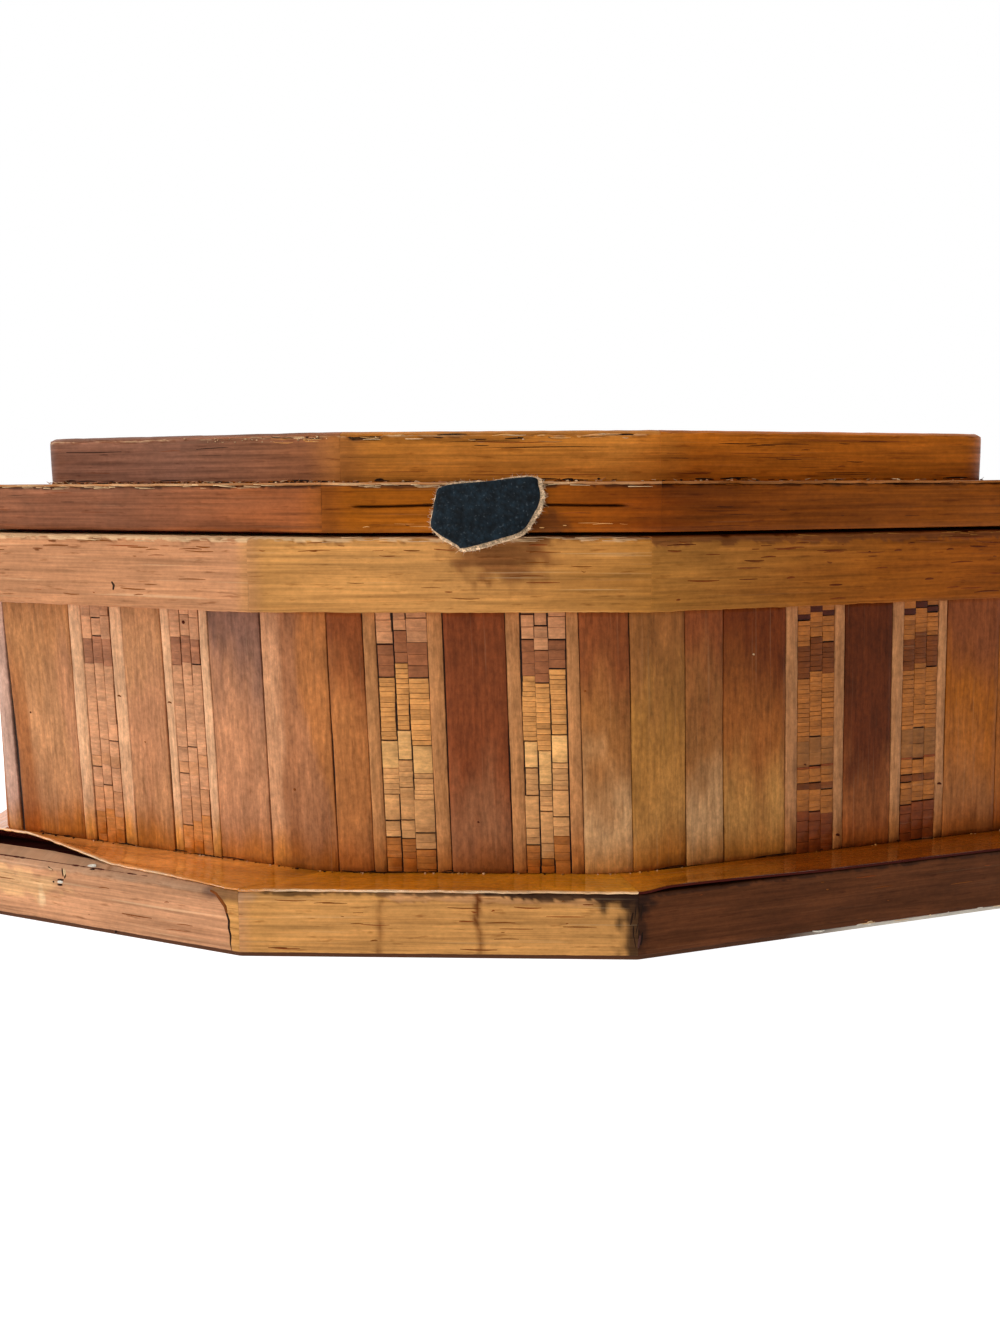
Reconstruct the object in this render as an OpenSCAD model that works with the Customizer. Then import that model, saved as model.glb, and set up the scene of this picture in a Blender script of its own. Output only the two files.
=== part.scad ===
// Octagonal straw marquetry jewelry box with a stepped, hinged lid.
// Millimetres, +Z up, front toward -Y, origin at the middle of the underside.

/* [Plan] */
// Turn of each slanted side from the front, in degrees
side_turn = 20.6; // [15:0.1:26]
// Width of the plinth over its ends
plinth_w = 196.8; // [180:0.2:230]
// Depth of the plinth, front to back
plinth_d = 132; // [120:0.5:160]
// Ledge of the plinth in front of the wall boards
ledge = 8.75; // [6:0.25:12]
// Ledge of the plinth beyond the wall boards' ends
ledge_end = 6.1; // [5:0.1:12]

/* [Front panels] */
// Width of the plinth's front panel
plinth_front = 62; // [54:0.5:66]
// Width of the wall's front panel
wall_front = 47; // [42:0.5:52]
// Width of the rail's front panel
rail_front = 61.2; // [56:0.2:66]
// Width of the lid's front panel
lid_front = 50.8; // [46:0.2:56]
// Width of the upper tier's front panel
top_front = 50; // [40:0.5:54]
// Sideways shift of the plinth's front panel
plinth_shift = -10.5; // [-12:0.5:12]
// Sideways shift of the wall's front panel
wall_shift = -5.5; // [-10:0.5:10]
// Sideways shift of the rail's front panel
rail_shift = -8.5; // [-10:0.5:10]
// Sideways shift of the lid's front panel
lid_shift = -2; // [-6:0.5:6]
// Sideways shift of the upper tier's front panel
top_shift = -1; // [-6:0.5:6]

/* [Corners] */
// Radius of the wall's front corners
wall_round = 28; // [10:1:34]
// Radius of the wall's end corners
wall_end_round = 2.5; // [2:0.5:10]
// Radius of the crisp corners of plinth, rail and lid
crisp_round = 2.5; // [1.5:0.1:4]
// Radius of the upper tier's corners
top_round = 8; // [3:0.5:12]

/* [Heights] */
// Height of the plinth
plinth_h = 11; // [8:0.5:14]
// Height of the straw panels between ledge and rail
panel_h = 42.5; // [36:0.5:60]
// Height of the rail
rail_h = 11.6; // [9:0.1:15]
// Open seam between rail and lid
seam = 0.6; // [0.6:0.05:1]
// Height of the lid's lower tier
lid_h = 7.5; // [7:0.1:11]
// Height of the lid's upper tier
top_h = 7.9; // [6:0.1:11]

/* [Boards and skins] */
// Thickness of the wall boards
wall_t = 4; // [3.5:0.25:6]
// Thickness of the rail
rail_t = 5; // [4.5:0.25:6]
// How far the lid stands out past the rail
lid_proud = 0.8; // [0.5:0.1:1.2]
// Set-back of the upper tier at front and back
step_front = 9.3; // [6:0.1:12]
// Set-back of the upper tier at the ends
step_end = 15.9; // [9:0.1:20]
// Thickness of the straw edgings
edging_t = 0.8; // [0.5:0.1:1.2]
// Thickness of the flat straw veneers
veneer_t = 0.4; // [0.3:0.05:0.6]
// Thickness of the straws on the walls
straw_t = 0.5; // [0.4:0.05:0.8]
// Thickness of the underside card
card_t = 0.6; // [0.4:0.1:1]
// Set-back of the underside card
card_in = 0.3; // [0.1:0.1:1]

/* [Straw pattern] */
// Width of the middle straw of a wall
middle_w = 9.2; // [7:0.1:10]
// Width of one mosaic column
column_w = 2.35; // [1.8:0.05:2.6]
// Width of one pale stringing straw
string_w = 2.1; // [1.5:0.1:2.4]
// Plain straws between a slanted wall's pattern and its end corner
end_plain = 16; // [12:0.5:18]
// Usual width of a plain straw
plain_w = 9; // [7:0.5:11]
// Seam between neighbouring straws
straw_gap = 0.1; // [0.05:0.01:0.2]
// Share of the upper tier's edge covered by the upper straw
upper_share = 0.6; // [0.4:0.05:0.7]
// Width of the dark border on the top face
border_w = 7; // [4:0.5:10]
// Width of the pale line inside that border
line_w = 2; // [1:0.5:4]
// Size of the middle star as a share of the top's field
star_share = 0.36; // [0.2:0.02:0.6]
// Size of the star's pieces as a share of their room
star_fill = 0.96; // [0.9:0.01:0.97]
// Rays on each side of the top's field
rays = 4; // [2:1:6]

/* [Lining] */
// Thickness of the wall lining panels
lining_t = 1; // [0.6:0.1:1.5]
// Thickness of the floor lining
floor_t = 1.6; // [1:0.1:3]
// Thickness of the lid lining
lid_lining_t = 1; // [0.6:0.1:1.5]
// Gap around the floor lining
floor_clear = 0.2; // [0.1:0.05:0.5]
// Gap around the lid lining
lid_clear = 1.2; // [0.8:0.1:2]

/* [Hinges] */
// Distance between the two hinges
hinge_spacing = 32; // [26:1:34]
// Length of one hinge
hinge_l = 14; // [12:0.5:15]
// Distance of a hinge leaf's edge from the wall's inner face
leaf_in = 0.7; // [0.5:0.1:1]
// Thickness of a hinge leaf
leaf_t = 0.5; // [0.4:0.05:0.7]
// Space between the two closed leaves
leaf_gap = 0.3; // [0.3:0.05:0.5]
// Radius of the hinge barrel
barrel_r = 1.3; // [1.2:0.05:1.5]
// Radius of the hinge pin
pin_r = 0.6; // [0.5:0.05:0.7]
// Running clearance of the lid's knuckles on the pin
run_clear = 0.04; // [0.02:0.01:0.08]
// Clearance of a piece seated in its hole or recess
seat_clear = 0.02; // [0.01:0.01:0.05]
// Space between neighbouring knuckles
knuckle_gap = 0.3; // [0.3:0.05:0.5]
// Space around barrel and leaves in their recesses
recess_clear = 0.3; // [0.3:0.05:0.5]
// Distance of the pin's axis inside the rail's back face
axis_in = 1.8; // [1.7:0.1:2.2]
// Angle of each chamfer at the back edge; the lid stops at twice this
stop_turn = 52; // [48:1:56]
// Radius of a hinge nail's shank
nail_r = 0.45; // [0.35:0.05:0.5]
// Radius of a hinge nail's head
nail_head_r = 0.9; // [0.8:0.05:1]
// Height of a hinge nail's head
nail_head_h = 0.25; // [0.2:0.05:0.3]
// Length of a hinge nail
nail_l = 5; // [3.5:0.5:6]
// Distance between a leaf's two nails
nail_spacing = 8; // [6:0.5:9]

/* [Pull tab] */
// Width of the leather tab
tab_w = 17; // [12:0.5:22]
// Height of the leather tab
tab_h = 11.2; // [9:0.2:14]
// Thickness of the leather tab
tab_t = 1.1; // [0.8:0.1:1.6]
// How far the tab hangs below the lid
tab_drop = 2.5; // [1:0.1:4]
// Sideways place of the tab's middle
tab_x = -2.6; // [-8:0.2:8]

/* [Hidden] */
$fn = 48;
arc_steps = 8;
SIDES = ["front", "front_right", "right_end", "back_right", "back", "back_left", "left_end", "front_left"];
FACING = [-90, side_turn - 90, 0, 90 - side_turn, 90, 90 + side_turn, 180, 270 - side_turn];

// A layer is [half width, half depth, front panel width, its shift, front radius, end radius].
plinth_hw = plinth_w / 2;
plinth_hd = plinth_d / 2;
wall_hw = plinth_hw - ledge_end;
wall_hd = plinth_hd - ledge;
rail_hw = wall_hw + rail_t;
rail_hd = wall_hd + rail_t;
lid_hw = rail_hw + lid_proud;
lid_hd = rail_hd + lid_proud;
PLINTH = [plinth_hw, plinth_hd, plinth_front, plinth_shift, crisp_round, crisp_round];
WALL = [wall_hw, wall_hd, wall_front, wall_shift, wall_round, wall_end_round];
RAIL = [rail_hw, rail_hd, rail_front, rail_shift, crisp_round, crisp_round];
LID = [lid_hw, lid_hd, lid_front, lid_shift, crisp_round, crisp_round];
TOP = [lid_hw - step_end, lid_hd - step_front, top_front, top_shift, top_round, top_round];

ledge_z = plinth_h - veneer_t;
rail_z = plinth_h + panel_h;
rim_z = rail_z + rail_h;
lid_z = rim_z + seam;
step_z = lid_z + lid_h - veneer_t;
top_z = lid_z + lid_h + top_h;
top_edge_h = top_z - veneer_t - step_z;
upper_h = top_edge_h * upper_share;
lower_h = top_edge_h - upper_h - straw_gap;

band_w = 2 * string_w + 3 * column_w;
pattern_w = middle_w + 2 * band_w;

axis_y = rail_hd - axis_in;
axis_z = rim_z + seam / 2;
leaf_w = rail_t - axis_in + wall_t - leaf_in;
knuckle_l = (hinge_l - 2 * knuckle_gap) / 3;
leaf_low = axis_z - leaf_gap / 2 - leaf_t;
leaf_high = axis_z + leaf_gap / 2;
nail_y = wall_hd - wall_t / 2;
far = plinth_w;

// Sharp corner of a layer between side i and the next side
function corner(layer, i) =
    let (t = tan(side_turn), hw = layer[0], hd = layer[1], w = layer[2] / 2, s = layer[3])
    [
        [s + w, -hd], [hw, (hw - s - w) * t - hd], [hw, hd - (hw - w) * t], [w, hd],
        [-w, hd], [-hw, hd - (hw - w) * t], [-hw, (hw + s - w) * t - hd], [s - w, -hd]
    ][i % 8];

function dir(a) = [cos(a), sin(a)];

function turn_after(i) = i % 8 == 7 ? FACING[0] + 360 : FACING[i % 8 + 1];

// Direction in which a corner moves when the layer grows
function mitre(i) =
    let (a = dir(FACING[i % 8]), b = dir(turn_after(i)))
    (a + b) / (1 + a * b);

function radius_at(layer, i) = i % 4 == 0 || i % 4 == 3 ? layer[4] : layer[5];

// Rounded corner i of a layer grown by g, between the steps k0 and k1
function arc(layer, g, i, k0, k1) =
    let (r = max(radius_at(layer, i) + g, 0.4))
    let (c = corner(layer, i) + (g - r) * mitre(i))
    let (a = FACING[i % 8], b = turn_after(i))
    [for (k = [k0:1:k1]) c + r * dir(a + (b - a) * k / arc_steps)];

function outline(layer, g) = [for (i = [0:7]) each arc(layer, g, i, 0, arc_steps)];

// Edge of side i, from the middle of one corner to the middle of the next
function side_edge(layer, g, i) = concat(
    arc(layer, g, i + 7, arc_steps / 2, arc_steps),
    arc(layer, g, i, 0, arc_steps / 2)
);

function backward(p) = [for (k = [len(p) - 1:-1:0]) p[k]];

function path_length(p, k = 0) = k >= len(p) - 1 ? 0 : norm(p[k + 1] - p[k]) + path_length(p, k + 1);

// Place at distance s along a path, as its segment and the share of that segment
function place(p, s, k = 0) =
    let (l = norm(p[k + 1] - p[k]))
    s <= l || k == len(p) - 2 ? [k, s / l] : place(p, s - l, k + 1);

function at(p, u) = p[u[0]] + (p[u[0] + 1] - p[u[0]]) * u[1];

function stretch(p, u, v) = concat([at(p, u)], [for (k = [u[0] + 1:1:v[0]]) p[k]], [at(p, v)]);

function shortened(p, gap) =
    gap == 0 ? p : stretch(p, place(p, gap / 2), place(p, path_length(p) - gap / 2));

function plain(l) = let (n = max(1, round(l / plain_w))) [for (k = [1:n]) l / n];

function band() = [string_w, column_w, column_w, column_w, string_w];

// Length of plain straws before the pattern on side i
function lead(i, l) =
    i % 4 == 3 ? end_plain : i % 4 == 1 ? l - pattern_w - end_plain : (l - pattern_w) / 2;

function straws(i, l) =
    concat(plain(lead(i, l)), band(), [middle_w], band(), plain(l - pattern_w - lead(i, l)));

function sum(v, n) = n == 0 ? 0 : v[n - 1] + sum(v, n - 1);

module slab(layer, g, z0, z1) {
    translate([0, 0, z0])
        linear_extrude(z1 - z0)
            polygon(outline(layer, g));
}

// Side i of a band between two layers, cut along the corner mitres and shortened by a gap
module strip(i, inner, g0, outer, g1, z0, z1, gap = 0) {
    near = shortened(side_edge(inner, g0, i), gap);
    away = shortened(side_edge(outer, g1, i), gap);
    translate([0, 0, z0])
        linear_extrude(z1 - z0)
            polygon(concat(away, backward(near)));
}

module along_x(x0, x1) {
    translate([x0, 0, 0])
        rotate([90, 0, 90])
            linear_extrude(x1 - x0)
                children();
}

module rod(x0, x1, r) {
    translate([x0, axis_y, axis_z])
        rotate([0, 90, 0])
            cylinder(h = x1 - x0, r = r);
}

module at_hinges() {
    for (x = [-hinge_spacing / 2, hinge_spacing / 2])
        translate([x, 0, 0])
            children();
}

// Chamfer behind the hinge axis: up = -1 cuts the rail, up = 1 cuts the lid
module back_chamfer(up) {
    along_x(-far, far)
        polygon([
            [axis_y, axis_z],
            [axis_y + far, axis_z + up * far * tan(stop_turn)],
            [axis_y + far, axis_z - up * far],
            [axis_y, axis_z - up * far]
        ]);
}

module hinge_recess(z0, z1) {
    half = hinge_l / 2 + recess_clear;
    at_hinges() {
        rod(-half, half, barrel_r + recess_clear);
        translate([-half, axis_y - leaf_w - recess_clear, z0])
            cube([2 * half, leaf_w + recess_clear, z1 - z0]);
    }
}

module nail_rows() {
    at_hinges()
        for (x = [-nail_spacing / 2, nail_spacing / 2])
            translate([x, nail_y, 0])
                children();
}

module body_nail_holes() {
    nail_rows()
        translate([0, 0, leaf_low + leaf_t - nail_l - seat_clear])
            cylinder(h = nail_l + seat_clear, r = nail_r + seat_clear);
}

module lid_nail_holes() {
    nail_rows()
        translate([0, 0, leaf_high])
            cylinder(h = nail_l + seat_clear, r = nail_r + seat_clear);
}

module underside_card() {
    color("Gainsboro")
        slab(PLINTH, -card_in, 0, card_t);
}

module base_board() {
    color("BurlyWood")
        slab(PLINTH, -edging_t, card_t, ledge_z);
}

module plinth_edge(i) {
    color("Peru")
        strip(i, PLINTH, -edging_t, PLINTH, 0, card_t, ledge_z);
}

module ledge_veneer() {
    color("Goldenrod")
        for (i = [0:7])
            strip(i, WALL, 0, PLINTH, 0, ledge_z, plinth_h, straw_gap);
}

module wall(i) {
    color("BurlyWood")
        difference() {
            strip(i, WALL, -wall_t, WALL, 0, ledge_z, rim_z);
            if (SIDES[i] == "back") {
                hinge_recess(leaf_low, lid_z);
                body_nail_holes();
            }
        }
}

module marquetry(i) {
    inner = side_edge(WALL, 0, i);
    outer = side_edge(WALL, straw_t, i);
    widths = straws(i, path_length(inner));
    color("Tan")
        for (k = [0:len(widths) - 1]) {
            u = place(inner, sum(widths, k) + straw_gap / 2);
            v = place(inner, sum(widths, k + 1) - straw_gap / 2);
            translate([0, 0, plinth_h])
                linear_extrude(panel_h)
                    polygon(concat(stretch(outer, u, v), backward(stretch(inner, u, v))));
        }
}

module rail(i) {
    color("SandyBrown")
        difference() {
            strip(i, WALL, 0, RAIL, 0, rail_z, rim_z);
            if (i >= 3 && i <= 5) {
                back_chamfer(-1);
                hinge_recess(leaf_low, lid_z);
            }
        }
}

module wall_lining() {
    color("FireBrick")
        for (i = [0:7])
            strip(i, WALL, -wall_t - lining_t, WALL, -wall_t, ledge_z, lid_z, straw_gap);
}

module floor_lining() {
    color("FireBrick")
        slab(WALL, -wall_t - lining_t - floor_clear, ledge_z, ledge_z + floor_t);
}

module leaf_plate(z) {
    solid_w = leaf_w - barrel_r - recess_clear;
    translate([-hinge_l / 2, axis_y - leaf_w, z])
        cube([hinge_l, solid_w, leaf_t]);
}

module knuckle(x, z) {
    rod(x - knuckle_l / 2, x + knuckle_l / 2, barrel_r);
    translate([x - knuckle_l / 2, axis_y - leaf_w / 2, z])
        cube([knuckle_l, leaf_w / 2, leaf_t]);
}

module hinge_body_leaves() {
    color("Gold")
        difference() {
            at_hinges() {
                leaf_plate(leaf_low);
                knuckle(0, leaf_low);
            }
            at_hinges()
                rod(-hinge_l, hinge_l, pin_r + seat_clear);
            body_nail_holes();
            nail_rows()
                translate([0, 0, leaf_low + leaf_t - nail_head_h])
                    cylinder(h = leaf_t, r = nail_head_r + seat_clear);
        }
}

module hinge_pins() {
    color("Gold")
        at_hinges()
            rod(-hinge_l / 2, hinge_l / 2, pin_r);
}

module body_nails() {
    color("Gold")
        nail_rows() {
            translate([0, 0, leaf_low + leaf_t - nail_l])
                cylinder(h = nail_l, r = nail_r);
            translate([0, 0, leaf_low + leaf_t - nail_head_h])
                cylinder(h = nail_head_h, r = nail_head_r);
        }
}

module lid_board() {
    color("BurlyWood")
        difference() {
            slab(LID, -edging_t, lid_z, step_z);
            back_chamfer(1);
            hinge_recess(rim_z, leaf_high + leaf_t);
            lid_nail_holes();
        }
}

module lid_edge(i) {
    color("Chocolate")
        difference() {
            strip(i, LID, -edging_t, LID, 0, lid_z, step_z);
            if (i >= 3 && i <= 5)
                back_chamfer(1);
        }
}

module step_veneer() {
    color("Goldenrod")
        for (i = [0:7])
            strip(i, TOP, 0, LID, 0, step_z, lid_z + lid_h, straw_gap);
}

module top_board() {
    color("BurlyWood")
        slab(TOP, -edging_t, step_z, top_z - veneer_t);
}

module top_edging() {
    color("Chocolate")
        for (i = [0:7]) {
            strip(i, TOP, -edging_t, TOP, 0, step_z, step_z + lower_h, straw_gap);
            strip(i, TOP, -edging_t, TOP, 0, step_z + lower_h + straw_gap, top_z - veneer_t, straw_gap);
        }
}

module top_piece(points) {
    translate([0, 0, top_z - veneer_t])
        linear_extrude(veneer_t)
            polygon(points);
}

module top_marquetry() {
    field = -border_w - line_w;
    color("SaddleBrown")
        for (i = [0:7]) {
            strip(i, TOP, straw_gap - border_w, TOP, 0, top_z - veneer_t, top_z, straw_gap);
            strip(i, TOP, field, TOP, -border_w, top_z - veneer_t, top_z, straw_gap);
            p = corner(TOP, i + 7) + (field - straw_gap) * mitre(i + 7);
            q = corner(TOP, i) + (field - straw_gap) * mitre(i);
            trim = (q - p) * straw_gap / norm(q - p);
            for (k = [0:rays - 1]) {
                a = p + (q - p) * k / rays + trim;
                b = p + (q - p) * (k + 1) / rays - trim;
                top_piece([a, b, b * star_share, a * star_share]);
            }
            m = (p + q) / 2;
            for (pair = [[p, m], [m, q]]) {
                out = (pair[0] + pair[1]) / norm(pair[0] + pair[1]) * 4 * straw_gap;
                points = [[0, 0], pair[0] * star_share, pair[1] * star_share];
                top_piece([for (c = points) c * star_fill + out]);
            }
        }
}

module lid_lining() {
    color("FireBrick")
        slab(WALL, -wall_t - lining_t - lid_clear, lid_z - lid_lining_t, lid_z);
}

module pull_tab() {
    shape = [
        [-0.42, 0.42], [0.36, 0.5], [0.48, 0.42], [0.5, 0.22], [0.44, 0], [0.33, -0.2],
        [0.12, -0.32], [-0.16, -0.5], [-0.36, -0.4], [-0.49, -0.16], [-0.5, 0.02], [-0.46, 0.24]
    ];
    color("DarkSlateGray")
        translate([tab_x, -lid_hd, lid_z - tab_drop + tab_h / 2])
            rotate([90, 0, 0])
                linear_extrude(tab_t)
                    polygon([for (p = shape) [p[0] * tab_w, p[1] * tab_h]]);
}

module hinge_lid_leaves() {
    color("Gold")
        difference() {
            at_hinges() {
                leaf_plate(leaf_high);
                knuckle(-knuckle_l - knuckle_gap, leaf_high);
                knuckle(knuckle_l + knuckle_gap, leaf_high);
            }
            at_hinges()
                rod(-hinge_l, hinge_l, pin_r + run_clear);
            lid_nail_holes();
            nail_rows()
                translate([0, 0, leaf_high + nail_head_h - leaf_t])
                    cylinder(h = leaf_t, r = nail_head_r + seat_clear);
        }
}

module lid_nails() {
    color("Gold")
        nail_rows() {
            translate([0, 0, leaf_high])
                cylinder(h = nail_l, r = nail_r);
            translate([0, 0, leaf_high])
                cylinder(h = nail_head_h, r = nail_head_r);
        }
}

underside_card();
base_board();
ledge_veneer();
wall_lining();
floor_lining();
for (i = [0:7]) plinth_edge(i);
for (i = [0:7]) wall(i);
for (i = [0:7]) marquetry(i);
for (i = [0:7]) rail(i);
hinge_body_leaves();
hinge_pins();
body_nails();
lid_board();
for (i = [0:7]) lid_edge(i);
step_veneer();
top_board();
top_edging();
top_marquetry();
lid_lining();
pull_tab();
hinge_lid_leaves();
lid_nails();
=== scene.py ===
"""Looks of the straw marquetry jewelry box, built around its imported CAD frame."""

import math
import random
from functools import partial

import bpy
import numpy as np
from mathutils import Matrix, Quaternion, Vector

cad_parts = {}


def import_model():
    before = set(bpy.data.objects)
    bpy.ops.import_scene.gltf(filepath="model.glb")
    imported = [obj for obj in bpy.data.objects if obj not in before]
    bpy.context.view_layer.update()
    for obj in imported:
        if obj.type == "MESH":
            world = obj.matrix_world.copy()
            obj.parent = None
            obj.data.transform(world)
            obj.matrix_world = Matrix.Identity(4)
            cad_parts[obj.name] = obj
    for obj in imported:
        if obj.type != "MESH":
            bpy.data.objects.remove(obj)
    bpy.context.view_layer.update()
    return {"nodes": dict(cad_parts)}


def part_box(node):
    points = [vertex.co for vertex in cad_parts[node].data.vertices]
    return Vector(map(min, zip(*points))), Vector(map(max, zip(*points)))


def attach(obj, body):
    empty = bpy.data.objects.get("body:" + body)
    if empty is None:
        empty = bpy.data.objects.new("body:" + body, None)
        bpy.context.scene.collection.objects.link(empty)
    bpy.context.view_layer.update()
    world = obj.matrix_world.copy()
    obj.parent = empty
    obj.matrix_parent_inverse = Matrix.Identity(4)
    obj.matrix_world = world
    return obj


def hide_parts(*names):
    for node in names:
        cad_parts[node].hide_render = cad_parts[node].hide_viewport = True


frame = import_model()

MM = 0.001
SIDES = ("front", "front_right", "right_end", "back_right", "back", "back_left", "left_end", "front_left")
FRONT, FRONT_RIGHT, RIGHT_END, BACK_RIGHT, BACK, BACK_LEFT, LEFT_END, FRONT_LEFT = range(8)
BACK_SIDES = (BACK_RIGHT, BACK, BACK_LEFT)
RIGHT_SIDES = (FRONT_RIGHT, RIGHT_END)
SIDE_TURN = 20.6
FACING = (-90, SIDE_TURN - 90, 0, 90 - SIDE_TURN, 90, 90 + SIDE_TURN, 180, 270 - SIDE_TURN)

# Camera that matches the photograph's view, in millimetres, degrees and photo pixels.
CAMERA_AT = (5.7, -241.7, 72.42)
CAMERA_YAW = -2.06
CAMERA_PITCH = 8.5
CAMERA_ROLL = -0.25
PHOTO_H = 1330
FOCAL_PX = 1190
SENSOR = 36

# Surface tones as sRGB bytes.
TONES = {
    "pale_string": (218, 166, 124), "string": (178, 120, 72), "shade_string": (184, 126, 80),
    "rose": (184, 125, 86), "tan": (184, 128, 84), "chestnut": (158, 96, 52), "mauve": (130, 91, 73),
    "brown": (172, 106, 56), "wine": (122, 60, 28), "plum": (146, 92, 58), "olive": (150, 94, 46),
    "sage": (204, 156, 106), "bay": (138, 73, 35), "moss": (168, 112, 50), "meadow": (192, 134, 68),
    "clay": (160, 103, 66), "peach": (192, 136, 96), "russet": (155, 88, 36), "rust": (114, 52, 16),
    "amber": (164, 90, 22), "umber": (96, 42, 12), "dusk": (164, 94, 46), "honey": (204, 140, 76),
    "gold": (219, 163, 99), "tile_rose": (196, 136, 92), "tile_mauve": (152, 92, 56),
    "tile_brown": (124, 64, 22), "tile_tan": (196, 139, 99), "tile_buff": (202, 144, 88),
    "tile_amber": (196, 126, 66), "tile_dusk": (160, 104, 72), "tile_shade": (174, 104, 44),
    "notch": (76, 30, 14), "tile_dark": (134, 64, 24), "stain": (126, 68, 20),
    "rail_left": (185, 128, 88), "rail_front": (194, 136, 74), "handled": (112, 62, 30),
    "rail_dim": (163, 107, 46), "rail_right": (150, 82, 20), "rail_red": (136, 66, 12),
    "lid_mauve": (130, 80, 54), "lid_red": (140, 74, 30), "lid_gold": (148, 79, 12),
    "lid_bay": (128, 60, 8), "lid_dark": (112, 53, 8), "lid_russet": (132, 68, 16),
    "top_mauve": (132, 86, 64), "top_red": (146, 88, 50), "top_gold": (192, 120, 46),
    "top_amber": (186, 102, 24), "plinth_left": (190, 136, 98), "plinth_front": (194, 138, 76),
    "plinth_dark": (92, 50, 24), "ledge": (196, 118, 22), "ledge_gold": (206, 134, 26),
    "ledge_dark": (136, 66, 8), "ledge_left": (230, 148, 72), "fray": (226, 188, 142),
    "card": (226, 216, 200), "dust": (186, 204, 216), "board": (172, 120, 74), "glue": (44, 24, 12),
    "soot": (40, 22, 14), "maroon": (72, 20, 12), "grime": (84, 52, 46), "grey_tan": (178, 136, 104),
    "patch": (216, 166, 114), "sliver": (186, 146, 126), "leather": (13, 24, 31),
    "suede": (206, 172, 136), "velvet": (112, 20, 26), "brass": (170, 128, 62),
    "star_pale": (222, 176, 104), "star_dark": (122, 66, 30),
}


def tone(name):
    """Linear colour of a named tone."""
    c = np.array(TONES[name], dtype=float) / 255
    return np.where(c <= 0.04045, c / 12.92, ((c + 0.055) / 1.055) ** 2.4)


def wobble(x, y, seed=0.0):
    """Smooth noise from -1 to 1 over arrays of places."""
    x, y = np.broadcast_arrays(np.asarray(x, float), np.asarray(y, float))
    i, j = np.floor(x), np.floor(y)
    u, v = x - i, y - j
    u, v = u * u * (3 - 2 * u), v * v * (3 - 2 * v)

    def value(p, q):
        return np.modf(np.abs(np.sin(p * 127.1 + q * 311.7 + seed * 74.7) * 43758.5453))[0]

    low = value(i, j) * (1 - u) + value(i + 1, j) * u
    high = value(i, j + 1) * (1 - u) + value(i + 1, j + 1) * u
    return 2 * (low * (1 - v) + high * v) - 1


def sway(x, seed):
    """Smooth noise from -1 to 1 along a line."""
    return wobble(x, 0 * x, seed)


def ragged(b, seed):
    """Uneven edge noise from -1 to 1 along a band."""
    return 0.6 * sway(b * 0.35, seed) + 0.4 * sway(b * 1.6, seed + 1)


def ease(x, low, high):
    """Smooth step of x from 0 at low to 1 at high."""
    t = np.clip((np.asarray(x, float) - low) / (high - low), 0, 1)
    return t * t * (3 - 2 * t)


def spans(b, ranges, soft):
    """1 where b lies inside one of the ranges, fading over soft."""
    inside = 0 * b
    for first, last in ranges:
        inside = np.maximum(inside, ease(b, first, first + soft) * (1 - ease(b, last - soft, last)))
    return inside


def bell(x):
    """Bell curve of x: 1 at 0, fading over 1."""
    return np.exp(-(x**2))


def mix(a, b, t):
    """Colours a and b blended by an array of shares."""
    t = np.asarray(t, float)[..., None]
    return a * (1 - t) + b * t


def along_tones(names, share):
    """Tones spread evenly from share 0 to share 1."""
    colours = np.array([tone(name) for name in names])
    at = np.linspace(0, 1, len(names))
    return np.stack([np.interp(share, at, colours[:, k]) for k in range(3)], -1)


def flat(colour):
    """Tint of one colour all over."""
    return lambda a, h, b: colour + 0 * b[..., None]


def polygon(count):
    """Loop of evenly turned places on a circle of radius 1."""
    return [(math.cos(t), math.sin(t)) for t in np.arange(count) * math.pi / (count / 2)]


def node_box(name):
    """Lowest and highest corner of a CAD node in millimetres."""
    low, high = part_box(name)
    return np.array(low) / MM, np.array(high) / MM


def node_heights(name):
    """Lowest and highest level of a CAD node in millimetres."""
    return (corner[2] for corner in node_box(name))


CORNER_STEPS = 12


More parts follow.
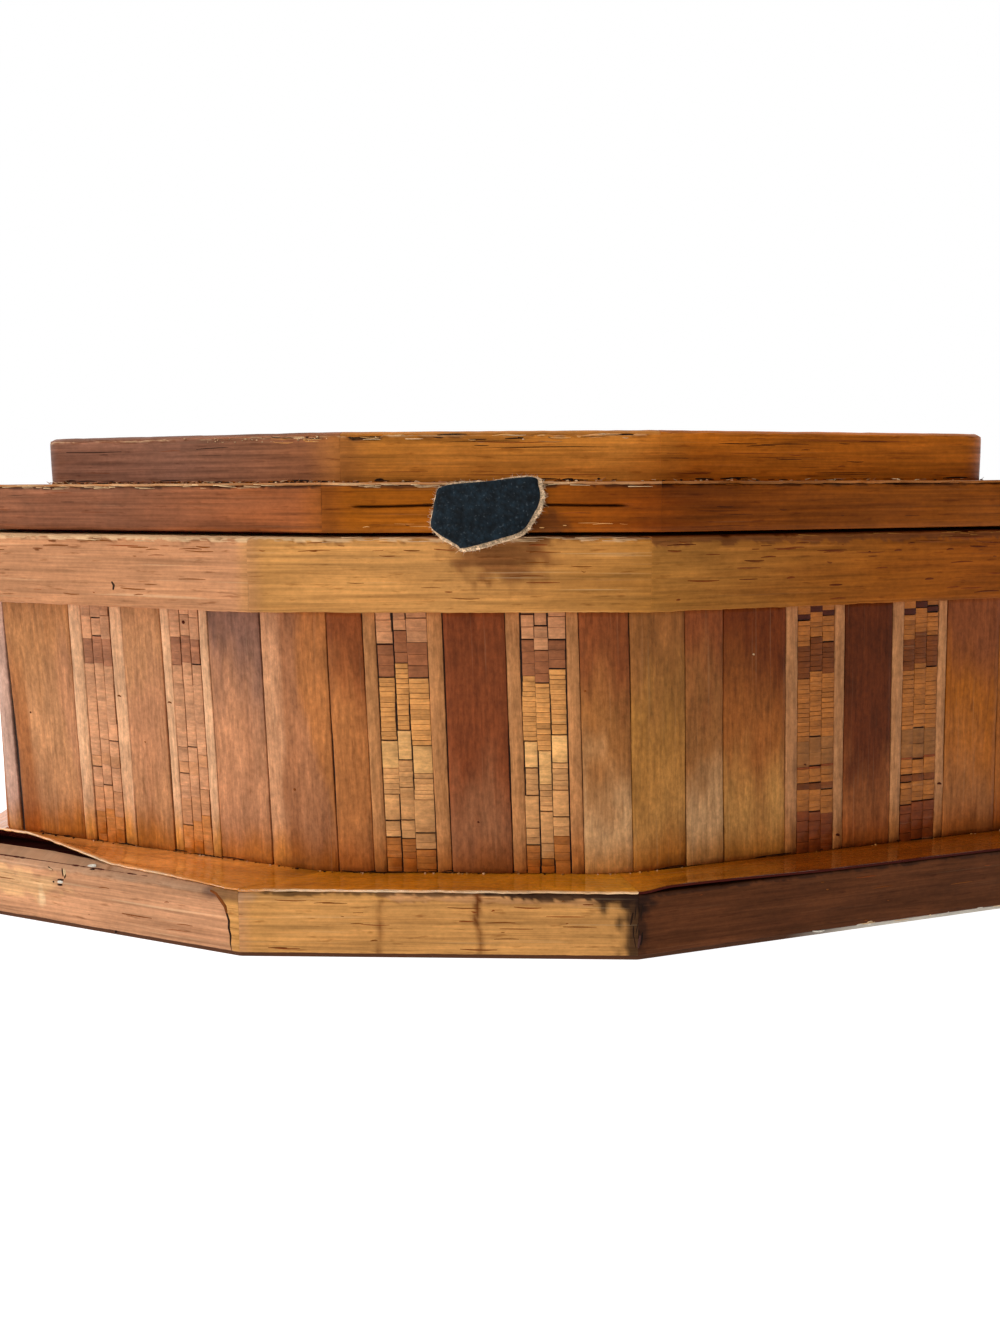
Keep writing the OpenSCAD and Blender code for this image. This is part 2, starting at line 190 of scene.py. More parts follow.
class Ring:
    """Outline of one layer in millimetres, walked counter-clockwise by distance."""

    def __init__(self, half_w, half_d, front, back, round_front, round_end):
        slope = math.tan(math.radians(SIDE_TURN))
        (fx0, fx1), (bx0, bx1) = front, back
        self.front_x = fx0
        corners = np.array([
            (fx1, -half_d),
            (half_w, (half_w - fx1) * slope - half_d),
            (half_w, half_d - (half_w - bx1) * slope),
            (bx1, half_d),
            (bx0, half_d),
            (-half_w, half_d - (half_w + bx0) * slope),
            (-half_w, (half_w + fx0) * slope - half_d),
            (fx0, -half_d),
        ])
        rows, first = [], []
        for side in range(8):
            first.append(len(rows))
            before = (side + 7) % 8
            for corner, k0, k1 in ((before, CORNER_STEPS, 2 * CORNER_STEPS), (side, 0, CORNER_STEPS)):
                radius = round_front if corner % 4 in (0, 3) else round_end
                a = math.radians(FACING[corner])
                b = math.radians(FACING[(corner + 1) % 8] + (360 if corner == 7 else 0))
                normals = np.array([(math.cos(a), math.sin(a)), (math.cos(b), math.sin(b))])
                mitre = normals.sum(0) / (1 + normals[0] @ normals[1])
                centre = corners[corner] - radius * mitre
                for k in range(k0, k1 + (corner == before)):
                    turn = a + (b - a) * k / (2 * CORNER_STEPS)
                    n = np.array((math.cos(turn), math.sin(turn)))
                    rows.append((*(centre + radius * n), *n))
        rows.append(rows[0])
        self.rows = np.array(rows)
        legs = np.hypot(*np.diff(self.rows[:, :2], axis=0).T)
        self.walk = np.concatenate([[0], np.cumsum(legs)])
        self.total = self.walk[-1]
        self.start = [self.walk[k] for k in first] + [self.total]

    def span(self, side, gap=0.0):
        """Distances where a side begins and ends, each drawn in by a gap."""
        return self.start[side] + gap, self.start[side + 1] - gap

    def length(self, side):
        return self.start[side + 1] - self.start[side]

    def front_at(self, x):
        """Distance along the ring of a place x on the front side."""
        return x - self.front_x

    def at(self, s, out):
        """Places at distance s along the ring, moved outward by out."""
        s = np.mod(s, self.total)
        x, y, nx, ny = (np.interp(s, self.walk, self.rows[:, k]) for k in range(4))
        size = np.hypot(nx, ny)
        return x + nx / size * out, y + ny / size * out


def ring_of(nodes, round_front, round_end, inset=0.0):
    """Ring of a layer whose front, back and end pieces are these CAD nodes, moved in by inset."""
    (f0, f1), (b0, b1), (_, e1) = (node_box(name) for name in nodes)
    corner = inset * math.tan(math.radians(SIDE_TURN / 2))
    front, back = (f0[0] + corner, f1[0] - corner), (b0[0] + corner, b1[0] - corner)
    return Ring(e1[0] - inset, -f0[1] - inset, front, back, round_front, round_end)


def layer_nodes(prefix):
    """CAD nodes that give a layer's ring."""
    return [f"{prefix}_{end}" for end in ("front", "back", "right_end")]


CRISP = 2.5
WALL_ROUND = 28
WALL_END_ROUND = 2.5
TOP_FRONT = 50
TOP_SHIFT = -1
TOP_ROUND = 8
PLINTH = ring_of(layer_nodes("plinth_edge"), CRISP, CRISP)
WALL = ring_of(layer_nodes("wall"), WALL_ROUND, WALL_END_ROUND)
RAIL = ring_of(layer_nodes("rail"), CRISP, CRISP)
LID = ring_of(layer_nodes("lid_edge"), CRISP, CRISP)
top_high = node_box("top_edging")[1]
top_front = (TOP_SHIFT - TOP_FRONT / 2, TOP_SHIFT + TOP_FRONT / 2)
TOP = Ring(top_high[0], top_high[1], top_front, (-TOP_FRONT / 2, TOP_FRONT / 2), TOP_ROUND, TOP_ROUND)

CARD_Z = node_box("underside_card")[1][2]
LEDGE_Z, PLINTH_Z = node_heights("ledge_veneer")
RAIL_Z, RIM_Z = node_heights("rail_front")
LID_Z, STEP_LOW_Z = node_heights("lid_edge_front")
STEP_Z = node_box("step_veneer")[1][2]
TOP_LOW_Z, TOP_Z = node_heights("top_marquetry")
PANEL_MID = (PLINTH_Z + RAIL_Z) / 2
TAB_LOW, TAB_HIGH = node_box("pull_tab")
STRAW_T = 0.5
EDGING_T = 0.8
RAIL_T = 5
WALL_T = 4
LINING_T = 1
# Sideways lean of the wall straws per millimetre of height.
LEAN = 0.03
# Edges sharper than this stay sharp in the shading.
SHARP_ANGLE = 50
# Reach of the random places from which skins take their grain.
GRAIN_FIELD = 400
# Limits of a tint.
DARKEST, PALEST = 0.002, 0.95


class Batch:
    """Skins gathered into one mesh, with a tint per point and a grain map in millimetres."""

    def __init__(self, seed):
        self.rng = random.Random(seed)
        self.points, self.tints, self.grain, self.faces = [], [], [], []
        self.count = 0

    def skin(self, loop, stations, place, tint, grain=None, shift=None):
        """Closed skin through a loop of (a, h) points at each station b along it."""
        loop = np.asarray(loop, float)
        b = np.asarray(stations, float)[:, None] + 0 * loop[None, :, 0]
        a = loop[None, :, 0] + 0 * b
        h = loop[None, :, 1] + 0 * b
        points = np.stack(np.broadcast_arrays(*place(a, h, b)), -1)
        rows, size = b.shape
        self.points.append(points.reshape(-1, 3) * MM)
        colours = np.broadcast_to(tint(a, h, b), (rows, size, 3)).reshape(-1, 3)
        self.tints.append(np.clip(colours, DARKEST, PALEST))
        if shift is None:
            shift = (self.rng.uniform(0, GRAIN_FIELD), self.rng.uniform(0, GRAIN_FIELD))
        wide, long = (a, b) if grain is None else grain(a, h, b)
        self.grain.append(np.stack([wide + shift[0], long + shift[1]], -1).reshape(-1, 2))
        index = self.count + np.arange(rows * size).reshape(rows, size)
        near, far = index[:-1], index[1:]
        quads = np.stack([near, np.roll(near, -1, 1), np.roll(far, -1, 1), far], -1).reshape(-1, 4)
        faces = quads.tolist() + [index[0, ::-1].tolist(), index[-1].tolist()]
        if enclosed(points) < 0:
            faces = [face[::-1] for face in faces]
        self.faces += faces
        self.count += rows * size

    def build(self, name, material, body, slot, nodes=()):
        """The gathered mesh as one piece that rides on a body."""
        mesh = bpy.data.meshes.new(name)
        mesh.from_pydata(np.concatenate(self.points).tolist(), [], self.faces)
        tints = np.concatenate(self.tints)
        attribute = mesh.attributes.new("tint", "FLOAT_COLOR", "POINT")
        attribute.data.foreach_set("color", np.column_stack([tints, np.ones(len(tints))]).ravel())
        layer = mesh.uv_layers.new(name="grain")
        corner_of = np.empty(len(mesh.loops), dtype=np.int32)
        mesh.loops.foreach_get("vertex_index", corner_of)
        layer.data.foreach_set("uv", np.concatenate(self.grain)[corner_of].ravel())
        mesh.materials.append(material)
        mesh.shade_smooth()
        mesh.set_sharp_from_angle(angle=math.radians(SHARP_ANGLE))
        obj = bpy.data.objects.new(name, mesh)
        bpy.context.collection.objects.link(obj)
        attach(obj, body)
        if nodes:
            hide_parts(*nodes)
        return obj


def enclosed(points):
    """Signed volume of a skin given as rows of loops."""

    def wedge(p, q, r):
        return np.einsum("...k,...k->...", p, np.cross(q, r)).sum()

    near, far = points[:-1], points[1:]
    near_next, far_next = np.roll(near, -1, 1), np.roll(far, -1, 1)
    total = wedge(near, near_next, far_next) + wedge(near, far_next, far)
    for loop, sign in ((points[0], -1), (points[-1], 1)):
        middle = np.broadcast_to(loop.mean(0), loop.shape)
        total += sign * wedge(middle, loop, np.roll(loop, -1, 0))
    return total


# Materials


def new_material(name):
    """A material, its node tree and its shader's inputs."""
    material = bpy.data.materials.new(name)
    material.use_nodes = True
    tree = material.node_tree
    return material, tree, tree.nodes["Principled BSDF"].inputs


def fill(tree, inputs, values):
    """Links sockets to a node's inputs and sets plain values on them."""
    for key, value in values.items():
        if isinstance(value, bpy.types.NodeSocket):
            tree.links.new(value, inputs[key])
        else:
            inputs[key].default_value = value


def add(tree, kind, values=None, **settings):
    """Outputs of a new node with these inputs and settings."""
    made = tree.nodes.new("ShaderNode" + kind)
    for name, value in settings.items():
        setattr(made, name, value)
    fill(tree, made.inputs, values or {})
    return made.outputs


def point_tint(tree):
    return add(tree, "Attribute", attribute_name="tint")["Color"]


def object_place(tree):
    return add(tree, "TexCoord")["Object"]


def noise_node(tree, vector, scale, detail=3.0, rough=0.55):
    """Grey noise stretched by a scale per axis."""
    place = add(tree, "Mapping", {"Vector": vector, "Scale": scale})["Vector"]
    look = {"Vector": place, "Scale": 1.0, "Detail": detail, "Roughness": rough}
    return add(tree, "TexNoise", look)["Fac"]


def remap(tree, value, low, high, to_low, to_high):
    ends = {"From Min": low, "From Max": high, "To Min": to_low, "To Max": to_high}
    return add(tree, "MapRange", {"Value": value, **ends})["Result"]


def math_node(tree, operation, a, b):
    return add(tree, "Math", {0: a, 1: b}, operation=operation)["Value"]


def scaled(tree, colour, value):
    """A colour times a grey value."""
    return add(tree, "VectorMath", {0: colour, "Scale": value}, operation="SCALE")["Vector"]


def washed(tree, colour, mask, wash, mode):
    """A colour with a wash laid over it where the mask is high."""
    factor, under, over, result = 0, 6, 7, 2
    values = {factor: mask, under: colour, over: (*wash, 1)}
    return add(tree, "Mix", values, data_type="RGBA", blend_type=mode)[result]


def ramped(tree, grey, low, high, first=0.0, last=1.0):
    """Colour that goes from low to high as a grey value goes from first to last."""
    made = tree.nodes.new("ShaderNodeValToRGB")
    for element, colour, position in zip(made.color_ramp.elements, (low, high), (first, last)):
        element.color = (*colour, 1)
        element.position = position
    fill(tree, made.inputs, {"Fac": grey})
    return made.outputs["Color"]


def bumped(tree, shader, height, strength, distance):
    values = {"Strength": strength, "Distance": distance * MM, "Height": height}
    fill(tree, shader, {"Normal": add(tree, "Bump", values)["Normal"]})


BROWNING = (0.42, 0.28, 0.16)
PALING = (1.0, 0.72, 0.4)
# Strength of the grain's relief, and its depth in millimetres.
RELIEF = (0.4, 0.09)


def grained(tree, shader, colour, grain, fibre, strand, fleck, glint, run, cloudy, speckle=0.22):
    """A colour with fibres, clouds, specks, strands, flecks and pale lines; the shader gets their relief."""
    noise = partial(noise_node, tree, grain)
    fine = noise((1.5, run, 1), 4, 0.65)
    cloud = noise((0.2, 0.09, 1), 4, 0.6)
    speck = noise((1.3, 0.8, 1), 3, 0.7)
    for grey, depth in ((fine, fibre), (cloud, cloudy), (speck, speckle)):
        colour = scaled(tree, colour, remap(tree, grey, 0.3, 0.7, 1 - depth, 1 + depth))
    for grey, low, high, cover, wash, mode in (
        (noise((0.42, 0.03, 1), 3, 0.6), 0.5, 0.7, strand, BROWNING, "MULTIPLY"),
        (noise((1.7, 0.2, 1)), 0.6, 0.7, fleck, BROWNING, "MULTIPLY"),
        (noise((1.9, 0.03, 1), 2), 0.62, 0.72, glint, PALING, "SCREEN"),
    ):
        colour = washed(tree, colour, remap(tree, grey, low, high, 0.0, cover), wash, mode)
    bumped(tree, shader, fine, *RELIEF)
    return colour, fine


def straw_material(name, roughness, coat, *look):
    """Flattened straw under a thin varnish, tinted point by point."""
    material, tree, shader = new_material(name)
    grain = add(tree, "UVMap", uv_map="grain")["UV"]
    colour, fine = grained(tree, shader, point_tint(tree), grain, *look)
    fill(tree, shader, {
        "Base Color": colour,
        "Roughness": remap(tree, fine, 0.3, 0.7, roughness + 0.08, roughness - 0.08),
        "Specular IOR Level": 0.06,
        "Coat Weight": coat,
        "Coat Roughness": 0.08,
        "Coat IOR": 1.8,
    })
    return material


def object_grain(tree, angle):
    """Object coordinates in millimetres, turned so that Y runs along the side facing angle."""
    turn = {"Vector": object_place(tree), "Rotation": (0, 0, math.radians(angle)), "Scale": (MM, MM, MM)}
    split = add(tree, "SeparateXYZ", {0: add(tree, "Mapping", turn, vector_type="TEXTURE")["Vector"]})
    across = math_node(tree, "ADD", split["X"], split["Z"])
    return add(tree, "CombineXYZ", {"X": across, "Y": split["Y"]})["Vector"]


def node_straw(name, tone_name, angle, roughness=0.45):
    """Straw or thin wood on a CAD node, its grain along the side that faces angle."""
    material, tree, shader = new_material(name)
    grain = object_grain(tree, angle)
    base = tone(tone_name)
    cloudy = ramped(tree, noise_node(tree, grain, (0.3, 0.04, 1)), base * 0.8, base * 1.15, 0.35, 0.65)
    colour, _ = grained(tree, shader, cloudy, grain, 0.2, 0.5, 0.4, 0.05, 0.06, 0.2)
    fill(tree, shader, {"Base Color": colour, "Roughness": roughness, "Specular IOR Level": 0.12})
    return material


def mottled_material(name, low, high, scale, roughness, bump):
    """A material whose colour wanders between two tones with noise at a scale per millimetre."""
    material, tree, shader = new_material(name)
    grey = noise_node(tree, object_place(tree), (scale / MM,) * 3, 5, 0.65)
    fill(tree, shader, {"Base Color": ramped(tree, grey, low, high, 0.3, 0.7), "Roughness": roughness})
    bumped(tree, shader, grey, 0.6, bump)
    return material, tree, shader


def pebbled(name, roughness, size, depth, sheen, dusty=0.0):
    """Leather, suede or velvet: the piece's tint with a fine grain of bumps."""
    material, tree, shader = new_material(name)
    place = object_place(tree)
    cells = add(tree, "TexVoronoi", {"Vector": place, "Scale": 1 / (size * MM)})["Distance"]
    grime = noise_node(tree, place, (0.4 / (size * MM),) * 3, 6, 0.7)
    shade = remap(tree, cells, 0, 0.8, 1.4, 0.6)
    shade = math_node(tree, "MULTIPLY", shade, remap(tree, grime, 0.4, 0.72, 0.6, 2.2))
    colour = scaled(tree, point_tint(tree), shade)
    if dusty:
        specks = noise_node(tree, place, (2.2 / MM,) * 3, 2, 0.6)
        colour = washed(tree, colour, remap(tree, specks, 0.6, 0.8, 0.0, dusty), tone("dust"), "MIX")
    bumped(tree, shader, cells, 0.5, depth)
    looks = {"Roughness": roughness, "Specular IOR Level": 0.15, "Sheen Weight": sheen}
    fill(tree, shader, {"Base Color": colour, **looks})
    return material


# Roughness, coat, fibre, strand, fleck, glint, run, cloudy and, if unusual, speckle of each straw.
wall_straw = straw_material("wall_straw", 0.45, 0.02, 0.28, 0.24, 0.3, 0.04, 0.16, 0.17)
tile_straw = straw_material("tile_straw", 0.42, 0.05, 0.2, 0.25, 0.1, 0.06, 0.16, 0.22)
band_straw = straw_material("band_straw", 0.5, 0.0, 0.36, 0.25, 0.6, 0.15, 0.03, 0.12, 0.1)
dark_straw = straw_material("dark_straw", 0.55, 0.0, 0.34, 0.25, 0.5, 0.02, 0.05, 0.15, 0.12)
lid_straw = straw_material("lid_straw", 0.42, 0.0, 0.4, 0.45, 0.5, 0.03, 0.03, 0.16, 0.12)
ledge_straw = straw_material("ledge_straw", 0.28, 1.0, 0.16, 0.3, 0.2, 0.06, 0.16, 0.22)
loose_fibre = straw_material("loose_fibre", 0.6, 0.0, 0.2, 0.5, 0.1, 0.06, 0.16, 0.22)
# Roughness, size and depth of the grain in millimetres, sheen and dust.
tab_leather = pebbled("tab_leather", 0.55, 0.6, -0.16, 0.0, 0.1)
tab_suede = pebbled("tab_suede", 0.95, 0.2, 0.05, 0.4)
velvet_cloth = pebbled("velvet_cloth", 0.9, 0.25, 0.05, 0.05)

# Wall straws


# Distance between the points across a straw's face, and reach of its rounded ends.
FACE_PITCH = 0.9
END_ROUND = 0.25
END_STEP = 0.06


def straw_loop(width, thick, crown=0.05, edge=0.14):
    """Loop of one straw: flat behind, its front edges broken and its face barely crowned."""
    edge = min(edge, width / 6)
    count = max(3, int(width / FACE_PITCH))
    face = [(a, 1 + crown * math.sin(math.pi * a / width)) for a in np.linspace(edge, width - edge, count)]
    near = [(0, 0.0), (0, 0.55), (0.3 * edge, 0.85)]
    away = [(width - 0.3 * edge, 0.85), (width, 0.55), (width, 0.0)]
    return [(a, h * thick) for a, h in near + face + away]


def spaced(low, high, pitch):
    """Evenly spaced places with two close ones at each end, for rounded ends."""
    count = max(2, int(round((high - low) / pitch)))
    inner = np.linspace(low + END_ROUND, high - END_ROUND, count + 1)
    return np.concatenate([[low, low + END_STEP], inner, [high - END_STEP, high]])


def end_drop(b, low, high, share=0.45):
    """Height factor that rounds off both ends of a straw."""
    near = np.minimum(b - low, high - b)
    return 1 - share * (1 - ease(near, 0, END_ROUND))


# Shares of a straw's colour that old varnish leaves, and those on the front-left wall.
SOAKED = np.array((0.95, 0.74, 0.44))
SOAKED_LEFT = np.array((0.96, 0.71, 0.25))


def stained_and_shaded(base, seed, depth, b, s):
    """Tint of a straw darkened by old varnish near the ledge, darkest in a band at its very foot that is
    partly painted shade where it meets the ledge.
    """
    height = b - PLINTH_Z + 1.6 * sway(s * 0.35, seed) + 0.9 * wobble(s * 1.7, b * 0.2, seed + 3)
    soak = mix(SOAKED, SOAKED_LEFT, s > WALL.start[FRONT_LEFT])
    soaked = mix(base, base * soak, 1 - ease(height, 0.6, depth))
    # A dark band at the very foot: partly painted shade where the straw meets the ledge.
    return mix(soaked, tone("stain") * 0.7, 0.5 * (1 - ease(height, -0.3, 0.9)))


def shaded_flanks(h):
    """Darkening of a straw's flanks below its face."""
    return (0.8 + 0.2 * ease(h, 0.2, 0.45))[..., None]


def seam_gap(b, seed):
    """Ragged half width of the dark seam beside a straw."""
    return 0.02 + 0.11 * ease(sway(b * 0.07, seed), -0.3, 0.8) + 0.03 * sway(b * 0.6, seed + 2)


# Height to which the stain reaches on straws and on mosaic pieces, and a straw's station pitch.
STRAW_STAIN = 8.0
TILE_STAIN = 3.0
STRAW_PITCH = 0.9


def plain_straw(batch, s0, width, look, seed):
    """One upright straw from the ledge to the rail."""
    low, high = PLINTH_Z, RAIL_Z
    base = tone(look["tone"]) * (1 + 0.03 * math.sin(seed * 12.9))
    lift = 0.05 * math.sin(seed * 8.3)

    def tint(a, h, b):
        drift = 5 * wobble(a * 0.3, b * 0.09, seed) + 2.5 * wobble(a * 0.9, b * 0.25, seed + 1)
        blotch = 0.09 * wobble(a * 0.35, b * 0.1, seed + 5) + 0.05 * wobble(a * 1.1, b * 0.4, seed + 6)
        colour = base * (1 + blotch)[..., None]
        across = a + 0.12 * drift
        if look["left"]:
            name, wide = look["left"]
            colour = mix(colour, tone(name), 1 - ease(across, wide - 0.6, wide + 0.6))
        if look["right"]:
            name, wide = look["right"]
            edge = width - wide * ease(b, low + 6, low + 32)
            colour = mix(colour, tone(name), ease(across, edge - 0.9, edge + 0.9))
        if look["top"]:
            # Toward the rail the tone is partly the straw's own and partly painted shade under the rail's
            # overhang.
            colour = mix(colour, tone(look["top"]), ease(b + drift, high - 20, high - 4))
        if look["low"]:
            colour = mix(colour, tone(look["low"]), 1 - ease(b + drift, low + 3, low + 22))
        return stained_and_shaded(colour, seed, STRAW_STAIN, b, s0 + a) * shaded_flanks(h)

    def place(a, h, b):
        left = seam_gap(b, seed) + look["wedge"] * ease((high - b) / (high - low), 0.05, 0.75)
        right = seam_gap(b, seed + 40)
        s = s0 + left + a * (width - left - right) / width + LEAN * (PANEL_MID - b)
        h = h * end_drop(b, low, high)
        h = h + np.where(h > 0.1, lift + 0.04 * wobble(a * 0.45, b * 0.06, seed), 0)
        return *WALL.at(s, np.maximum(h, 0)), b

    batch.skin(straw_loop(width, STRAW_T), spaced(low, high, STRAW_PITCH), place, tint)


def tile(batch, s0, width, low, high, name, seed, column, seams, edge):
    """One little mosaic piece with its grain across the band."""
    middle_z = (low + high) / 2

    def seam(limits, row, turn):
        least, more = limits
        share = ease(wobble(middle_z * 0.11, row, column), -0.3, 0.7)
        return float(least + more * share) + 0.02 * math.sin(seed * turn)

    left, right = seam(seams[0], 0, 9.1), seam(seams[1], 3, 4.1)
    lift = 0.035 * math.sin(seed * 7.1)
    base = tone(name) * (1 + 0.06 * math.sin(seed * 5.3) + 0.03 * math.sin(seed * 1.9))
    s_in, s_out = s0 + left, s0 + width - right

    def place(a, h, b):
        h = (h + np.where(h > 0.1, lift, 0)) * end_drop(b, s_in, s_out, 0.25)
        z = low + a
        return *WALL.at(b + LEAN * (PANEL_MID - z), np.maximum(h, 0)), z

    def tint(a, h, b):
        colour = base * (1 + 0.08 * wobble(a * 1.3, b * 0.4, seed))[..., None]
        return stained_and_shaded(colour, seed, TILE_STAIN, low + a, b) * shaded_flanks(h)

    loop = straw_loop(high - low, STRAW_T, 0.0, edge)
    batch.skin(loop, [s_in, s_in + 0.1, (s_in + s_out) / 2, s_out - 0.1, s_out], place, tint)


# Mosaic bands from the top down: tone, height in millimetres and number of slices.
FRONT_BAND = (
    ("tile_rose", 1.0, 1), ("tile_rose", 3.6, 2), ("tile_mauve", 4.8, 3), ("honey", 9.6, 13),
    ("gold", 4.4, 1), ("tile_buff", 4.0, 5), ("tile_buff", 4.6, 1), ("tile_buff", 2.6, 2),
    ("tile_shade", 4.4, 4),
)
LEFT_BAND = (
    ("tile_tan", 2.2, 1), ("tile_tan", 3.2, 1), ("tile_dusk", 4.2, 4), ("tile_tan", 12.2, 4),
    ("tile_tan", 2.2, 1), ("tile_rose", 2.0, 1), ("tile_tan", 3.6, 2), ("tile_rose", 4.0, 2),
    ("tile_amber", 5.4, 3),
)
# In the right band, the notch block near the top and the thin tile_dark line under the olive block are
# painted shade at the steps between the columns.
RIGHT_BAND = (
    ("tile_shade", 1.4, 1), ("notch", 1.0, 1), ("tile_shade", 4.0, 5), ("tile_brown", 5.2, 6),
    ("tile_shade", 10.4, 13), ("olive", 4.6, 2), ("tile_dark", 0.4, 1), ("tile_shade", 2.6, 2),
    ("tile_brown", 1.2, 1), ("tile_shade", 3.8, 4), ("tile_dark", 6.4, 4),
)
# Each with its seams beside the columns and right of them (least and spread), the joints under
# blocks and slices, and the size of the bricks' broken edges.
SLICE_JOINTS = (0.0, 0.0, 0.02, 0.06)
OPEN_BAND = (FRONT_BAND, (0.02, 0.2), (0.02, 0.2), (0.05, 0.12, 0.2, 0.25), SLICE_JOINTS, 0.03)
CLOSE_LEFT = (LEFT_BAND, (0.02, 0.1), (0.16, 0.2), (0.0, 0.0, 0.06, 0.22), (0.0,), 0.015)
CLOSE_RIGHT = (RIGHT_BAND, (0.02, 0.05), (0.02, 0.05), (0.0, 0.0, 0.1, 0.25), SLICE_JOINTS, 0.02)
BANDS = (OPEN_BAND, CLOSE_RIGHT, CLOSE_RIGHT, CLOSE_RIGHT, OPEN_BAND, CLOSE_LEFT, CLOSE_LEFT, CLOSE_LEFT)
# Slices thinner than this are left out; heights vary by the spread, and outer columns slip up or down.
THINNEST = 0.25
SLICE_SPREAD = (0.85, 1.15)
COLUMN_SLIP = 0.6


def mosaic(batch, s0, widths, look, stagger, seed):
    """Three columns of little pieces; the middle one is set off up or down."""
    blocks, seam, shadow, block_joints, slice_joints, edge = look
    scale = (RAIL_Z - PLINTH_Z) / sum(height for _, height, _ in blocks)
    rng = batch.rng
    s = s0
    for column, width in enumerate(widths):
        z = RAIL_Z + (stagger if column == 1 else COLUMN_SLIP * rng.uniform(-1, 1))
        seams = (seam, shadow if column == len(widths) - 1 else seam)
        for block, (name, height, slices) in enumerate(blocks):
            for k in range(slices):
                high = min(z, RAIL_Z) if block + k else RAIL_Z
                z -= height * scale / slices * rng.uniform(*SLICE_SPREAD)
                ends = k == slices - 1
                low = PLINTH_Z if ends and block == len(blocks) - 1 else max(z, PLINTH_Z)
                joint = rng.choice(block_joints if ends else slice_joints)
                if high - low > THINNEST:
                    seed += 1
                    tile(batch, s, width, low + joint, high, name, seed, s0 + column, seams, edge)
        s += width


def straw(width, name, top=None, low=None, wedge=0.0, left=None, right=None):
    """Plan of one plain straw; no width means the spare length, left and right are soft strips, and top and
    low are tones toward the rail and the ledge, the darker tops partly painted shade under the rail's
    overhang.
    """
    strips = {"left": left, "right": right, "top": top, "low": low}
    return {"width": width, "tone": name, "wedge": wedge, **strips}


def tiles(widths, stagger):
    return {"width": sum(widths), "columns": widths, "stagger": stagger}


def framed(string, width, widths, stagger, after):
    """A mosaic band between two strings, given as their tone and widths."""
    return [straw(width, string), tiles(widths, stagger), straw(after, string)]


EVEN = (2.35, 2.35, 2.35)


def plain_plan(before, middle, after):
    """Straws of a side that the photo doesn't show."""
    bands = [framed("string", 2.1, EVEN, stagger, 2.1) for stagger in (1.2, -1.2)]
    return before + bands[0] + [straw(9.2, middle, None, "plum")] + bands[1] + after


SLANT_PLAN = plain_plan(
    [straw(8.5, "chestnut"), straw(None, "russet", "rust"), straw(5.0, "tan")],
    "rust",
    [straw(9.0, "olive"), straw(7.5, "russet", None, "sage")],
)
# Straws of each side in walking order; those in view are as wide as they measure on the photo.
WALL_PLANS = {
    "front": [
        straw(5.75, "brown", "bay"),
        *framed("string", 2.1, (2.55, 2.2, 3.2), 1.5, 2.5),
        straw(9.75, "wine", None, "plum"),
        *framed("string", 2.3, (2.15, 2.2, 2.75), -1.5, 2.05),
        straw(None, "olive", "bay", "sage"),
    ],
    "front_right": [
        straw(9.45, "moss", "olive", "meadow"),
        straw(6.8, "olive", "bay", "sage"),
        straw(11.55, "russet", "rust", "meadow"),
        *framed("shade_string", 2.3, (2.35, 2.3, 2.35), 0.9, 1.95),
        straw(9.4, "umber", None, "dusk"),
        *framed("shade_string", 2.25, EVEN, 0.9, 1.8),
        straw(11.0, "amber", "bay", "brown"),
        straw(None, "russet"),
    ],
    "right_end": plain_plan(
        [straw(8.5, "russet"), straw(None, "amber", "rust")],
        "rust",
        [straw(9.0, "russet"), straw(6.0, "rust")],
    ),
    "back_right": SLANT_PLAN,
    "back": plain_plan([straw(None, "brown", "bay")], "wine", [straw(6.5, "olive")]),
    "back_left": SLANT_PLAN,
    "left_end": plain_plan(
        [straw(9.0, "tan"), straw(None, "rose", "chestnut")],
        "rust",
        [straw(8.0, "chestnut", None, "tan"), straw(7.4, "rose")],
    ),
    "front_left": [
        straw(3.0, "sliver"),
        straw(14.75, "tan", "string", None, 0.7, ("chestnut", 4.0), ("rose", 4.0)),
        *framed("pale_string", 2.7, (2.05, 2.05, 2.05), -0.5, 2.6),
        straw(8.0, "rose", "tan", "tan"),
        *framed("pale_string", 1.85, (2.0, 1.95, 1.95), 0.9, 1.8),
        straw(10.0, "rose", "mauve"),
        straw(None, "clay", None, None, 0.0, ("peach", 3.0), ("brown", 5.5)),
    ],
}
# How far past a side's first corner its first straw begins.
FIRST_JOINT = {FRONT: 1.25, FRONT_RIGHT: 1.85}


def marquetry(side, here):
    """The straw skin of one wall."""
    plan = WALL_PLANS[here]
    late = FIRST_JOINT.get(side, 0)
    room = WALL.length(side) + FIRST_JOINT.get((side + 1) % 8, 0) - late
    spare = room - sum(look["width"] or 0 for look in plan)
    straws, pieces = Batch(100 + side), Batch(200 + side)
    s = WALL.start[side] + late
    for index, look in enumerate(plan):
        if "columns" in look:
            mosaic(pieces, s, look["columns"], BANDS[side], look["stagger"], 1000 * side + 100 * index)
        else:
            plain_straw(straws, s, look["width"] or spare, look, 31.0 * side + index)
        s += look["width"] or spare
    straws.build(f"straws_{here}", wall_straw, "box", "straw", [f"marquetry_{here}"])
    pieces.build(f"mosaic_{here}", tile_straw, "box", "straw")


for side, here in enumerate(SIDES):
    marquetry(side, here)


# Horizontal straw bands

# Rise of the loose ledge veneer at the left, and the lean of the worn plinth edge under it.
LIFT_HEIGHT = 2.7
BEVEL_IN = 2.6
BEVEL_UP = 0.9


def left_bevel(share):
    """How far the left plinth's worn top leans in along its length, from 1 to 0."""
    return np.clip((1 - share) / 0.65, 0, 1) * ease(share, 0.0, 0.1)


